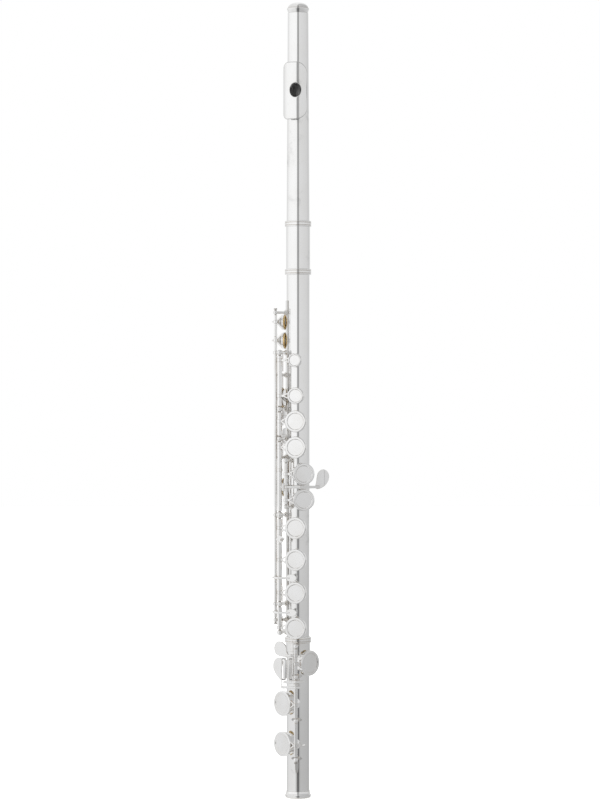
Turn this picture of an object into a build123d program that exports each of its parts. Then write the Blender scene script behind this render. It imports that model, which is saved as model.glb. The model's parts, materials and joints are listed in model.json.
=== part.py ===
from build123d import *
from collections import namedtuple
from math import atan2, cos, degrees, radians, sin, sqrt
import os

# A concert flute with a C foot, standing on its foot end, in millimetres.
# +Z runs up the tube from the centre of the foot's open end, and the line of keys faces -Y.
# Angles round the tube are measured from the key line, positive towards -X.

# Tube
BORE_R = 9.5
TUBE_R = 9.9
FIT = 0.04
FOOT_TUBE_TOP = 127.0
BODY_BOTTOM = 127.3
BODY_TOP = 452.0
RING_R = 11.35
BEAD_BULGE = 0.75

# Receiver of the foot joint and barrel of the body
RECEIVER_R = 10.45
RECEIVER_BOTTOM = 125.0
RECEIVER_TOP = 137.4
RECEIVER_RING_H = 5.2
END_RING_R = 11.2
END_RING_H = 5.5
BARREL_R = 10.3
BARREL_BOTTOM = 447.2
BARREL_TOP = 493.3
BARREL_RING_H = 5.0

# Head joint, which is turned a little from the key line
HEAD_TURN = 4.2
HEAD_WALL = 0.4
HEAD_BOTTOM = 452.4
HEAD_TAPER_START = 495.0
HEAD_TOP = 671.3
HEAD_TOP_R = 8.9
CROWN_TOP = 680.7
CROWN_R = 9.6
CROWN_RING_H = 3.9
EMBOUCHURE_Z = 604.3
EMBOUCHURE_HALF = (5.0, 6.1)
RISER_WALL = 1.0
LIP_LENGTH = 49.0
LIP_CENTRE_Z = 603.9
LIP_SIDES = (-12.7, 9.6)
LIP_R = 12.6
LIP_OFFSET = 1.2
LIP_THICK = 0.9
LIP_CORNERS = (4.5, 9.0)
STOPPER_FACE = EMBOUCHURE_Z + 17.0
CORK_R = 8.6
CORK_H = 17.0
STOPPER_PLATE_H = 1.6
THREAD_R = 2.0

# Tone holes: angle round the tube, height, hole radius, distance of the rim plane from the axis
Hole = namedtuple("Hole", "angle z radius rim")
RIM = 12.1
TRILL_RIM = 10.4
HOLES = {
    "d_sharp_trill": Hole(101, 406.8, 3.75, TRILL_RIM),
    "d_trill": Hole(101, 390.9, 3.75, TRILL_RIM),
    "c_sharp": Hole(3, 373.9, 3.75, RIM),
    "c": Hole(0, 343.6, 5.5, RIM),
    "thumb_b": Hole(106, 341.8, 6.5, RIM),
    "a_sharp": Hole(0, 321.8, 7.25, RIM),
    "a": Hole(0, 299.6, 7.25, RIM),
    "g_upper": Hole(-25, 277.0, 7.25, RIM),
    "g_sharp": Hole(97, 265.2, 6.0, RIM),
    "g_lower": Hole(-25, 254.8, 7.25, RIM),
    "f_sharp": Hole(0, 230.9, 7.25, RIM),
    "f": Hole(0, 203.8, 7.25, RIM),
    "e": Hole(0, 175.8, 7.25, RIM),
    "d": Hole(0, 145.7, 7.25, RIM),
    "low_d_sharp": Hole(-50, 115.6, 8.25, RIM),
    "low_c_sharp": Hole(50, 81.0, 8.25, RIM),
    "low_c": Hole(50, 46.4, 8.25, RIM),
}
FOOT_HOLES = ("low_d_sharp", "low_c_sharp", "low_c")
CHIMNEY_WALL = 0.45
CHIMNEY_RIM = 0.85

# Rods: the place of the axis in plan, the radius of the hinge tubes and of the bore in them
Rod = namedtuple("Rod", "centre tube bore")
RUNNING_FIT = 0.05
MAIN_STEEL_R = 1.0
THIN_STEEL_R = 0.75
MAIN_ROD = Rod(Vector(-14.5, -11.5), 2.0, MAIN_STEEL_R + RUNNING_FIT)
THUMB_ROD = Rod(Vector(-15.3, -7.2), 1.5, THIN_STEEL_R + RUNNING_FIT)
TRILL_ROD = Rod(Vector(-18.4, -9.0), 1.3, THIN_STEEL_R + RUNNING_FIT)
G_ROD = Rod(Vector(-8.7, -16.8), 1.55, THIN_STEEL_R + RUNNING_FIT)
FOOT_ROD = Rod(Vector(0, -19.0), 1.5, THIN_STEEL_R + RUNNING_FIT)
MAIN_STEEL_END = 2.0
THIN_STEEL_END = 1.5
HUB_EXTRA = 0.45
HUB_H = 2.6

# Keys
OPEN_ANGLE = 7
CUP_H = 3.4
CUP_WALL = 0.65
CUP_ROOF = 0.8
CUP_SKIRT = 0.7
TRILL_SKIRT = 1.1
TRILL_LANDING = (1.6, 2.5)
TRILL_SPREAD = 0.94
CUP_SHOULDER = 0.9
DISH_DEPTH = 0.5
DISH_SHARE = 0.73
PAD_LIFT = 0.06
PAD_EDGE = 0.5
PAD_GAP = 0.03
ARM_THICK = 1.5
ARM_HALF = 1.0
PRONG_W = 1.0
CUP_R = 9.3
C_CUP_R = 7.2
C_SHARP_CUP_R = 6.0
THUMB_CUP_R = 9.0
G_SHARP_CUP_R = 8.0
TRILL_CUP_RADII = {"d_sharp_trill": 6.8, "d_trill": 7.3}
FOOT_CUP_R = 10.85

# Posts: ball heads on the rods, shafts that stand on the rib or on the tube
MAIN_POSTS_Z = (380.4, 332.2, 306.9, 241.9, 166.0, 141.7)
THUMB_POSTS_Z = (361.5, 291.0)
G_POSTS_Z = (288.4, 249.0)
TRILL_POSTS_Z = (414.8, 152.2)
TRILL_GUIDES_Z = (380.4, 241.9, 166.0)
FOOT_POSTS_Z = (130.5, 104.6, 67.3, 34.3)
POST_R = 1.15
BALL_R = 2.5
BIG_BALL_R = 3.1
THIN_BALL_R = 2.0
POST_BASE_R = 2.4
POST_BASE_H = 0.8
POST_LEAN_ANGLE = 70
GUIDE_WALL = 0.8
GUIDE_H = 2.4
END_GAP = 0.3
RIB_R = 10.7
RIB_ANGLES = (52.5, 84)
RIB_Z = (139.0, 425.0)
SPRING_R = 0.25
SCREW_R = 0.9
SCREW_HEAD_R = 1.4
SCREW_HEAD_H = 1.2
PIN_R = 0.4
PIN_DEPTH = 1.3

# Where neighbouring hinge tubes meet between two posts
F_SHARP_TO_F_Z = 217.25
F_TO_E_Z = 189.85
THUMB_SPLIT_Z = 317.9

# Touches
TRILL_TOUCH_Z = {"d_sharp_trill": 158.9, "d_trill": 188.4}
TRILL_TOUCH_HALF = (4.9, 3.2)
TRILL_TOUCH_AT = Vector(-4.0, -17.0)
TRILL_TOUCH_ANGLE = 14
TRILL_TAIL = Vector(-2.9, 0.4)
TAIL_R = 0.7
TRILL_LEVER_R = 0.95
G_SHARP_BAR_R = 1.2
G_SHARP_INNER = (Vector(-8.7, -13.5), Vector(-11.3, -9.2))
G_SHARP_OUTER = (Vector(4.0, -16.6), Vector(14.0, -12.9), Vector(19.0, -10.7))
ADJUSTER_AT = (-11.8, -13.0, 220.9)
G_SHARP_LEAF_AT = (21.6, -9.6, 272.4)
G_SHARP_LEAF_ANGLE = -25
G_SHARP_LEAF = (
    (-5.0, 5.7),
    (0.8, 4.5),
    (6.3, 2.8),
    (8.4, -1.2),
    (4.2, -6.1),
    (-0.9, -5.7),
    (-5.6, -2.3),
    (-8.0, 2.2),
    (-7.8, 5.4),
)
LEAF_DISH_R = 11.0
LEAF_DISH_DEPTH = 0.45
G_SHARP_HUB_H = 2.6
G_SHARP_LEVER_Z = 265.9
THUMB_TOUCH_ANGLE = 140
THUMB_TOUCH_R = 14.5
PLATE_THICK = 1.3
ROLLER_Z = (103.6, 119.2)
ROLLER_LUG_H = 1.0
ROLLER_SIDE_W = 0.9
D_SHARP_LEVER_Z = (121.6, 124.0)
C_SHARP_LEVER_Z = (94.6, 97.0)
C_LEVER_Z = (99.0, 101.7)
C_SHARP_SIDE_X = -11.8
C_SIDE_X = -3.3
C_LEVER_END_X = -9.4
D_SHARP_LEAF_AT = (Vector(-12.6, -18.6), 129.6, 25)
C_SHARP_LEAF_AT = (Vector(-15.0, -16.0), 112.6, 35)
D_SHARP_LEAF = (
    (1.2, -5.0),
    (4.7, -4.2),
    (6.6, -1.2),
    (6.8, 2.4),
    (5.2, 5.6),
    (2.0, 7.4),
    (-2.8, 8.0),
    (-6.4, 8.1),
    (-6.8, 6.2),
    (-5.4, 3.4),
    (-4.9, 0.0),
    (-2.8, -3.2),
)
C_SHARP_LEAF = (
    (-3.0, -7.4),
    (-0.2, -8.4),
    (2.8, -6.8),
    (5.0, -2.5),
    (4.8, 1.4),
    (2.3, 5.9),
    (-0.8, 9.2),
    (-3.0, 10.6),
    (-3.4, 8.4),
    (-3.4, 0.0),
)
C_SHARP_ROLLER = Vector(-9.0, -18.9)
C_SHARP_ROLLER_R = 1.7
C_ROLLER = Vector(-5.3, -19.3)
C_ROLLER_R = 1.35
ROLLER_PIN_R = 0.45


def outward(angle):
    """Unit vector away from the tube's axis at an angle from the key line."""
    return Vector(-sin(radians(angle)), -cos(radians(angle)))


def at(point, z):
    """A plan point lifted to a height."""
    return Vector(point.X, point.Y, z)


def upright(radius, z_low, z_high, centre=Vector(0, 0)):
    """Vertical cylinder between two heights."""
    up = (Align.CENTER, Align.CENTER, Align.MIN)
    return Pos(centre.X, centre.Y, z_low) * Cylinder(radius, z_high - z_low, align=up)


def sleeve(outer, inner, z_low, z_high, centre=Vector(0, 0)):
    """Vertical tube between two heights."""
    return upright(outer, z_low, z_high, centre) - upright(inner, z_low, z_high, centre)


def lathe(points):
    """Solid of revolution round Z from (radius, height) points."""
    outline = Polyline(*[(radius, 0, height) for radius, height in points], close=True)
    return revolve(make_face(outline), Axis.Z)


def column(radius, start, end):
    """Cylinder from one point to another."""
    up = (Align.CENTER, Align.CENTER, Align.MIN)
    path = end - start
    return Plane(origin=start, z_dir=path) * Cylinder(radius, path.length, align=up)


def strip(points, thickness, z_low, z_high):
    """Bar that follows plan points, with rounded ends and corners."""
    centres = (Align.CENTER, Align.CENTER, Align.MIN)
    bar = upright(thickness / 2, z_low, z_high, points[0])
    for start, end in zip(points, points[1:]):
        run = end - start
        middle = (start + end) * 0.5
        turn = degrees(atan2(run.Y, run.X))
        block = Box(run.length, thickness, z_high - z_low, align=centres)
        bar += Pos(middle.X, middle.Y, z_low) * Rot(0, 0, turn) * block
        bar += upright(thickness / 2, z_low, z_high, end)
    return bar


def bent_bar(radius, points):
    """Round bar through points, with ball ends and corners."""
    bar = Pos(points[0]) * Sphere(radius)
    for start, end in zip(points, points[1:]):
        bar += column(radius, start, end)
        bar += Pos(end) * Sphere(radius)
    return bar


def turned(shape, rod, angle):
    """Shape turned about a vertical rod."""
    return shape.rotate(Axis((rod.X, rod.Y, 0), (0, 0, 1)), angle)


def facing(hole, distance):
    """Plane that faces away from the tube over a tone hole."""
    direction = outward(hole.angle)
    return Plane(origin=at(direction * distance, hole.z), x_dir=(0, 0, 1), z_dir=direction)


def chimney(hole):
    """Drawn wall of a tone hole, up to its rolled rim."""
    depth = 4.0 - hole.rim
    wall = hole.radius + CHIMNEY_WALL
    rim = hole.radius + CHIMNEY_RIM
    profile = [
        (0, depth),
        (wall, depth),
        (wall, -0.8),
        (rim, -0.6),
        (rim, -0.2),
        (rim - 0.2, 0),
        (0, 0),
    ]
    return facing(hole, hole.rim) * lathe(profile)


def with_tone_holes(outside, bore, names):
    """Tube with a chimney and a hole for each name."""
    for name in names:
        outside += chimney(HOLES[name])
    outside -= bore
    for name in names:
        hole = HOLES[name]
        outside -= facing(hole, 0) * upright(hole.radius, 0, hole.rim + 1)
    return outside


def body_tube():
    names = [name for name in HOLES if name not in FOOT_HOLES]
    outside = upright(TUBE_R, BODY_BOTTOM, BODY_TOP)
    return with_tone_holes(outside, upright(BORE_R, BODY_BOTTOM, BODY_TOP), names)


def foot_tube():
    outside = upright(TUBE_R, 0, FOOT_TUBE_TOP)
    return with_tone_holes(outside, upright(BORE_R, 0, FOOT_TUBE_TOP), FOOT_HOLES)


def bead(inner, outer, z_low, height, bulge=BEAD_BULGE):
    """Turned ring with a rounded outside."""
    z_high = z_low + height
    waist = outer - bulge
    sides = Polyline((waist, 0, z_high), (inner, 0, z_high), (inner, 0, z_low), (waist, 0, z_low))
    crest = ThreePointArc((waist, 0, z_low), (outer, 0, z_low + height / 2), (waist, 0, z_high))
    return revolve(make_face([sides, crest]), Axis.Z)


def barrel():
    return sleeve(BARREL_R, TUBE_R, BARREL_BOTTOM, BARREL_TOP)


def barrel_rings():
    top = bead(BARREL_R, RING_R, BARREL_TOP - BARREL_RING_H, BARREL_RING_H)
    bottom = bead(BARREL_R, RING_R, BARREL_BOTTOM, BARREL_RING_H)
    return [top, bottom]


def foot_receiver():
    ring_bottom = RECEIVER_TOP - RECEIVER_RING_H
    body = upright(RECEIVER_R, RECEIVER_BOTTOM, RECEIVER_TOP)
    body += bead(TUBE_R, RING_R, ring_bottom, RECEIVER_RING_H)
    body -= upright(TUBE_R, RECEIVER_BOTTOM, FOOT_TUBE_TOP)
    return body - upright(TUBE_R + FIT, FOOT_TUBE_TOP, RECEIVER_TOP)


def foot_end_ring():
    ring = lathe([
        (TUBE_R, 0),
        (END_RING_R - 0.3, 0),
        (END_RING_R, 0.8),
        (END_RING_R, 2.2),
        (TUBE_R + 0.6, 4.2),
        (TUBE_R + 0.5, END_RING_H),
        (TUBE_R, END_RING_H),
    ])
    crest = ring.edges().filter_by(GeomType.CIRCLE).filter_by(lambda e: e.radius > END_RING_R - 0.1)
    return fillet(crest, 0.3)


def head_radius(z):
    """Outer radius of the head tube at a height."""
    if z < HEAD_TAPER_START:
        return TUBE_R - FIT
    share = (z - HEAD_TAPER_START) / (HEAD_TOP - HEAD_TAPER_START)
    return TUBE_R - FIT - share * (TUBE_R - FIT - HEAD_TOP_R)


def head_cone(offset):
    """Solid of the head tube's outline, grown or shrunk by an offset."""
    heights = (HEAD_BOTTOM, HEAD_TAPER_START, HEAD_TOP)
    edge = [(head_radius(z) + offset, z) for z in heights]
    return lathe([(0, HEAD_BOTTOM), *edge, (0, HEAD_TOP)])


def embouchure(grow, depth_from, depth_to):
    """Oval prism of the embouchure hole, grown sideways."""
    half_x, half_z = EMBOUCHURE_HALF
    face = Plane(origin=(0, -depth_from, EMBOUCHURE_Z), x_dir=(1, 0, 0), z_dir=(0, -1, 0))
    return extrude(face * Ellipse(half_x + grow, half_z + grow), depth_to - depth_from)


def to_head(shape):
    """Turn a head joint piece from the key line to its own line."""
    return Rot(0, 0, -HEAD_TURN) * shape


def head_tube():
    tube = head_cone(0) - head_cone(-HEAD_WALL)
    tube -= upright(HEAD_TOP_R - HEAD_WALL, HEAD_TOP - 1, HEAD_TOP + 1)
    return to_head(tube - embouchure(0, 4, 14))


def lip_shell(radius):
    """Solid inside the lip plate's curve."""
    return upright(radius, LIP_CENTRE_Z - 40, LIP_CENTRE_Z + 40, Vector(0, -LIP_OFFSET))


def lip_plate():
    """Curved plate that wraps further round the player's side than the far side."""
    face = Plane(origin=(0, -2.2, LIP_CENTRE_Z), x_dir=(1, 0, 0), z_dir=(0, -1, 0))
    near, far = LIP_SIDES
    near_corner, far_corner = LIP_CORNERS
    half = Rectangle(-2 * near, LIP_LENGTH)
    outline = RectangleRounded(-2 * near, LIP_LENGTH, near_corner) & Pos(near) * half
    outline += RectangleRounded(2 * far, LIP_LENGTH, far_corner) & Pos(-near) * half
    plate = extrude(face * outline, 14) & (lip_shell(LIP_R) - lip_shell(LIP_R - LIP_THICK))
    return to_head(plate - embouchure(0, 4, 16))


def riser():
    wall = embouchure(RISER_WALL, 4, 16) - embouchure(0, 4, 16)
    return to_head((wall & lip_shell(LIP_R - LIP_THICK)) - head_cone(0))


def stopper_cork():
    bottom = STOPPER_FACE + STOPPER_PLATE_H
    return sleeve(CORK_R, THREAD_R, bottom, bottom + CORK_H)


def stopper_rod():
    cork_top = STOPPER_FACE + STOPPER_PLATE_H + CORK_H
    face_plate = upright(CORK_R - 0.1, STOPPER_FACE, STOPPER_FACE + STOPPER_PLATE_H)
    nut = upright(CORK_R - 2, cork_top, cork_top + STOPPER_PLATE_H)
    return face_plate + nut + upright(THREAD_R, STOPPER_FACE, CROWN_TOP - 9)


def crown():
    """Domed cap on the stopper's thread, with a plug in the head tube and a ring over its end."""
    plug = HEAD_TOP_R - HEAD_WALL - 0.1
    ring_low = HEAD_TOP + 0.3
    ring_high = ring_low + CROWN_RING_H
    dome_r = CROWN_R - 0.7
    outline = Polyline(
        (0, 0, CROWN_TOP),
        (0, 0, HEAD_TOP - 7),
        (plug, 0, HEAD_TOP - 7),
        (plug, 0, ring_low),
        (CROWN_R - 0.5, 0, ring_low),
        (CROWN_R, 0, ring_low + 0.5),
        (CROWN_R, 0, ring_high - 0.5),
        (CROWN_R - 0.5, 0, ring_high),
        (dome_r, 0, ring_high),
    )
    rise = CROWN_TOP - ring_high
    turns = [radians(angle) for angle in (0, 30, 60, 90)]
    crest = [(dome_r * cos(turn), 0, ring_high + rise * sin(turn)) for turn in turns]
    dome = Spline(*crest, tangents=[(0, 0, 1), (-1, 0, 0)])
    cap = revolve(make_face([outline, dome]), Axis.Z)
    return cap - upright(THREAD_R + RUNNING_FIT, HEAD_TOP - 8, CROWN_TOP - 4)


Seat = namedtuple("Seat", "plane reach lift")


def seat(hole, rod):
    """Frame on a tone hole's rim, x towards the rod and z outwards, and the rod's place in it."""
    direction = outward(hole.angle)
    rim = direction * hole.rim
    to_rod = rod.centre - rim
    lift = to_rod.dot(direction)
    sideways = to_rod - direction * lift
    plane = Plane(origin=at(rim, hole.z), x_dir=sideways, z_dir=direction)
    return Seat(plane, sideways.length, lift)


def cup(radius, skirt=CUP_SKIRT):
    """Plateau cup with a shallow dish in its roof."""
    roof = CUP_H - CUP_ROOF
    inner = radius - CUP_WALL
    dish = radius * DISH_SHARE
    floor = CUP_H - DISH_DEPTH
    round_x = radius - CUP_SHOULDER
    round_z = CUP_H - CUP_SHOULDER
    crest = sqrt(0.5) * CUP_SHOULDER
    section = Polyline(
        (radius, 0, round_z),
        (radius, 0, skirt),
        (inner, 0, skirt),
        (inner, 0, roof),
        (0, 0, roof),
        (0, 0, floor),
        (dish, 0, floor),
        (dish + DISH_DEPTH, 0, CUP_H),
        (round_x, 0, CUP_H),
    )
    shoulder = ThreePointArc(
        (round_x, 0, CUP_H),
        (round_x + crest, 0, round_z + crest),
        (radius, 0, round_z),
    )
    return revolve(make_face([section, shoulder]), Axis.Z)


def pad(radius):
    """Felt pad that fills a cup and stands a little proud of it."""
    outer = radius - CUP_WALL - PAD_GAP
    roof = CUP_H - CUP_ROOF
    return lathe([
        (0, PAD_LIFT),
        (outer - PAD_EDGE, PAD_LIFT),
        (outer, PAD_LIFT + PAD_EDGE),
        (outer, roof),
        (0, roof),
    ])


def wishbone(radius, reach, lift, landing, spread, forked):
    """Arm that widens from a rod to a cup, with a gap between its two prongs if it is forked."""
    neck = min(reach - 1.2, radius + 3.6)
    foot_x, foot_z = landing
    outline = Polyline(
        (reach, -ARM_HALF, 0),
        (reach, ARM_HALF, 0),
        (neck, ARM_HALF, 0),
        (foot_x, spread, 0),
        (foot_x, -spread, 0),
        (neck, -ARM_HALF, 0),
        close=True,
    )
    face = make_face(outline)
    if forked:
        gap = Polyline(
            (neck - 0.9, 0, 0),
            (foot_x, spread - PRONG_W, 0),
            (foot_x, PRONG_W - spread, 0),
            close=True,
        )
        face -= make_face(gap)
    plan = extrude(face, 2 * (abs(lift) + CUP_H), both=True)
    along = Vector(reach - foot_x, 0, lift - foot_z)
    middle = Vector(reach + foot_x, 0, lift + foot_z) * 0.5
    bar = Box(along.length + 0.4, 2 * spread, ARM_THICK)
    tilted = Plane(origin=middle, x_dir=along, z_dir=along.cross(Vector(0, 1, 0)))
    cavity = upright(radius - CUP_WALL, -2 * CUP_H, CUP_H - CUP_ROOF)
    return (plan & (tilted * bar)) - cavity


def cup_on_arm(name, radius, rod, landing=None, spread=None, skirt=CUP_SKIRT, forked=True):
    """Cup over a tone hole, with the arm and the hub that hold it on its rod."""
    hole = HOLES[name]
    place = seat(hole, rod)
    landing = landing or (radius - 1.3, 2.4)
    spread = spread or 0.39 * radius
    arm = wishbone(radius, place.reach, place.lift, landing, spread, forked)
    metal = cup(radius, skirt) + arm
    hub = upright(rod.tube + HUB_EXTRA, hole.z - HUB_H / 2, hole.z + HUB_H / 2, rod.centre)
    return place.plane * metal + hub


def key_pad(name, radius, rod):
    return seat(HOLES[name], rod).plane * pad(radius)


def bored(metal, rod, z_low, z_high):
    """Key metal with its hinge tube added and the tube's bore cut through."""
    metal += upright(rod.tube, z_low, z_high, rod.centre)
    return metal - upright(rod.bore, z_low - 5, z_high + 5, rod.centre)


def plain_key(name, rod, span, turn=-OPEN_ANGLE, radius=CUP_R, extra=None):
    """Key with one cup: the nodes of its metal and its pad at rest."""
    metal = cup_on_arm(name, radius, rod)
    if extra:
        metal += extra
    metal = bored(metal, rod, *span)
    return {
        f"{name}_key": turned(metal, rod.centre, turn),
        f"{name}_pad": turned(key_pad(name, radius, rod), rod.centre, turn),
    }


def between(low, high, low_ball=BALL_R, high_ball=BALL_R):
    """Heights of a hinge tube that fills the room between two post balls."""
    return low + low_ball + END_GAP, high - high_ball - END_GAP


def c_key():
    """C key, which carries the small C sharp cup on the same hinge tube."""
    metal = cup_on_arm("c", C_CUP_R, MAIN_ROD) + cup_on_arm("c_sharp", C_SHARP_CUP_R, MAIN_ROD)
    metal = bored(metal, MAIN_ROD, *between(MAIN_POSTS_Z[1], MAIN_POSTS_Z[0]))
    pads = [key_pad("c", C_CUP_R, MAIN_ROD), key_pad("c_sharp", C_SHARP_CUP_R, MAIN_ROD)]
    return {
        "c_key": turned(metal, MAIN_ROD.centre, -OPEN_ANGLE),
        "c_pads": [turned(shape, MAIN_ROD.centre, -OPEN_ANGLE) for shape in pads],
    }


def upper_stack():
    """C, A sharp and A keys, from the top post down to the big post."""
    a_sharp_span = between(MAIN_POSTS_Z[2], MAIN_POSTS_Z[1])
    a_span = between(MAIN_POSTS_Z[3], MAIN_POSTS_Z[2], BIG_BALL_R)
    collar_z = 280.3
    collar = upright(MAIN_ROD.tube + HUB_EXTRA, collar_z - 1, collar_z + 1, MAIN_ROD.centre)
    return {
        **c_key(),
        **plain_key("a_sharp", MAIN_ROD, a_sharp_span),
        **plain_key("a", MAIN_ROD, a_span, extra=collar),
    }


def adjusting_screw():
    """Screw through the bridge of the F sharp key."""
    place = Plane(origin=ADJUSTER_AT, z_dir=(0, -1, 0))
    shank = place * upright(0.7, 0, 2.2)
    head = place * (upright(1.3, 2.2, 3.0) - Pos(0, 0, 3.0) * Box(0.4, 3, 0.7))
    return shank + head


def lower_stack():
    """F sharp, F, E and D keys, from the big post down to the end post."""
    low, high = between(MAIN_POSTS_Z[4], MAIN_POSTS_Z[3], high_ball=BIG_BALL_R)
    gap = END_GAP / 2
    bridge = Pos(-13.4, -14.4, 221.6) * Rot(0, 30, 0) * Box(6.0, 1.3, 5.0)
    bridge += Pos(MAIN_ROD.centre.X, -13.4, 221.6) * Box(2.4, 2.0, 3.2)
    screw = adjusting_screw()
    keys = {
        **plain_key("f_sharp", MAIN_ROD, (F_SHARP_TO_F_Z + gap, high), extra=bridge),
        **plain_key("f", MAIN_ROD, (F_TO_E_Z + gap, F_SHARP_TO_F_Z - gap)),
        **plain_key("e", MAIN_ROD, (low, F_TO_E_Z - gap)),
        **plain_key("d", MAIN_ROD, between(MAIN_POSTS_Z[5], MAIN_POSTS_Z[4])),
    }
    screw = turned(screw, MAIN_ROD.centre, -OPEN_ANGLE)
    keys["f_sharp_key"] -= screw
    keys["adjusting_screw"] = screw
    return keys


def trill_tail(z):
    """Stub on the outer side of a trill hub."""
    return column(TAIL_R, at(TRILL_ROD.centre, z), at(TRILL_ROD.centre + TRILL_TAIL, z))


def trill_touch(name):
    """Lever and domed leaf that reach over the main rod to the key line."""
    z = TRILL_TOUCH_Z[name]
    route = [TRILL_ROD.centre, Vector(-18.6, -13.4), Vector(-15.6, -15.9), Vector(-6.0, -15.8)]
    lever = bent_bar(TRILL_LEVER_R, [at(point, z) for point in route])
    leaf = foot_plate(TRILL_TOUCH_AT, z, TRILL_TOUCH_ANGLE, Ellipse(*TRILL_TOUCH_HALF))
    front, back = leaf.faces().sort_by(SortBy.AREA)[-2:]
    leaf = fillet(front.edges() + back.edges(), PLATE_THICK * 0.45)
    hub = upright(TRILL_ROD.tube + HUB_EXTRA, z - HUB_H / 2, z + HUB_H / 2, TRILL_ROD.centre)
    return lever + leaf + hub + trill_tail(z)


def trill_metal(name):
    """Cup, arm, hub, tail and touch of a trill key, without its rod."""
    radius = TRILL_CUP_RADII[name]
    spread = TRILL_SPREAD * radius
    cups = cup_on_arm(name, radius, TRILL_ROD, TRILL_LANDING, spread, TRILL_SKIRT, forked=False)
    return cups + trill_tail(HOLES[name].z) + trill_touch(name)


def trill_keys():
    """D trill on an outer tube, and D sharp trill on the steel that runs through it."""
    low, high = between(TRILL_POSTS_Z[1], TRILL_POSTS_Z[0], THIN_BALL_R, THIN_BALL_R)
    outer_low = TRILL_TOUCH_Z["d_trill"] - 3.5
    outer_high = HOLES["d_trill"].z + 3.0
    centre = TRILL_ROD.centre
    outer = bored(trill_metal("d_trill"), TRILL_ROD, outer_low, outer_high)
    inner = trill_metal("d_sharp_trill") + upright(THIN_STEEL_R, low, high, centre)
    inner += upright(TRILL_ROD.tube, low, outer_low - END_GAP, centre)
    inner += upright(TRILL_ROD.tube, outer_high + END_GAP, high, centre)
    socket = PIN_DEPTH + 0.2
    inner -= upright(PIN_R + RUNNING_FIT, low - 1, low + socket, centre)
    inner -= upright(PIN_R + RUNNING_FIT, high - socket, high + 1, centre)
    return {
        "d_trill_key": outer,
        "d_trill_pad": key_pad("d_trill", TRILL_CUP_RADII["d_trill"], TRILL_ROD),
        "d_sharp_trill_key": inner,
        "d_sharp_trill_pad": key_pad("d_sharp_trill", TRILL_CUP_RADII["d_sharp_trill"], TRILL_ROD),
    }


def thumb_touch(z_low, height):
    """Lever round the back of the tube with the thumb's plate on its end."""
    route = [THUMB_ROD.centre, Vector(-16.2, 0), Vector(-13.9, 7.6), Vector(-9.6, 11.4)]
    middle = z_low + height / 2
    lever = strip(route, PLATE_THICK, middle - 1.2, middle + 1.2)
    direction = outward(THUMB_TOUCH_ANGLE)
    place = Plane(at(direction * THUMB_TOUCH_R, middle), x_dir=(0, 0, 1), z_dir=direction)
    plate = extrude(place * RectangleRounded(height, 8.4, 4.0), PLATE_THICK)
    hub = upright(THUMB_ROD.tube + HUB_EXTRA, middle - 1.3, middle + 1.3, THUMB_ROD.centre)
    return lever + plate + hub


def thumb_keys():
    """B key with the thumb's cup, and the B flat lever below it on the same rod."""
    low, high = between(THUMB_POSTS_Z[1], THUMB_POSTS_Z[0], THIN_BALL_R, THIN_BALL_R)
    gap = END_GAP / 2
    metal = cup_on_arm("thumb_b", THUMB_CUP_R, THUMB_ROD) + thumb_touch(319.0, 13.0)
    b_key = bored(metal, THUMB_ROD, THUMB_SPLIT_Z + gap, high)
    flat = bored(thumb_touch(302.0, 14.0), THUMB_ROD, low, THUMB_SPLIT_Z - gap)
    b_pad = key_pad("thumb_b", THUMB_CUP_R, THUMB_ROD)
    return {
        "thumb_b_key": turned(b_key, THUMB_ROD.centre, OPEN_ANGLE),
        "thumb_b_pad": turned(b_pad, THUMB_ROD.centre, OPEN_ANGLE),
        "thumb_b_flat_lever": turned(flat, THUMB_ROD.centre, OPEN_ANGLE),
    }


def g_key():
    """Two offset G cups, joined by a bridge past the G sharp hub."""
    low, high = between(G_POSTS_Z[1], G_POSTS_Z[0], THIN_BALL_R, THIN_BALL_R)
    hub_low = G_SHARP_LEVER_Z - G_SHARP_HUB_H / 2 - 0.2
    hub_high = G_SHARP_LEVER_Z + G_SHARP_HUB_H / 2 + 0.2
    bridge_at = G_ROD.centre + Vector(-1.9, -1.9)
    metal = cup_on_arm("g_upper", CUP_R, G_ROD) + cup_on_arm("g_lower", CUP_R, G_ROD)
    metal += upright(G_ROD.tube, low, hub_low, G_ROD.centre)
    metal += upright(G_ROD.tube, hub_high, high, G_ROD.centre)
    metal += strip([G_ROD.centre, bridge_at], 1.5, hub_low - 1.8, hub_low)
    metal += strip([G_ROD.centre, bridge_at], 1.5, hub_high, hub_high + 1.8)
    metal += upright(0.75, hub_low - 1.8, hub_high + 1.8, bridge_at)
    metal -= upright(G_ROD.bore, low - 1, high + 1, G_ROD.centre)
    pads = [key_pad("g_upper", CUP_R, G_ROD), key_pad("g_lower", CUP_R, G_ROD)]
    return {
        "g_key": turned(metal, G_ROD.centre, -OPEN_ANGLE),
        "g_pads": [turned(shape, G_ROD.centre, -OPEN_ANGLE) for shape in pads],
    }


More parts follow.
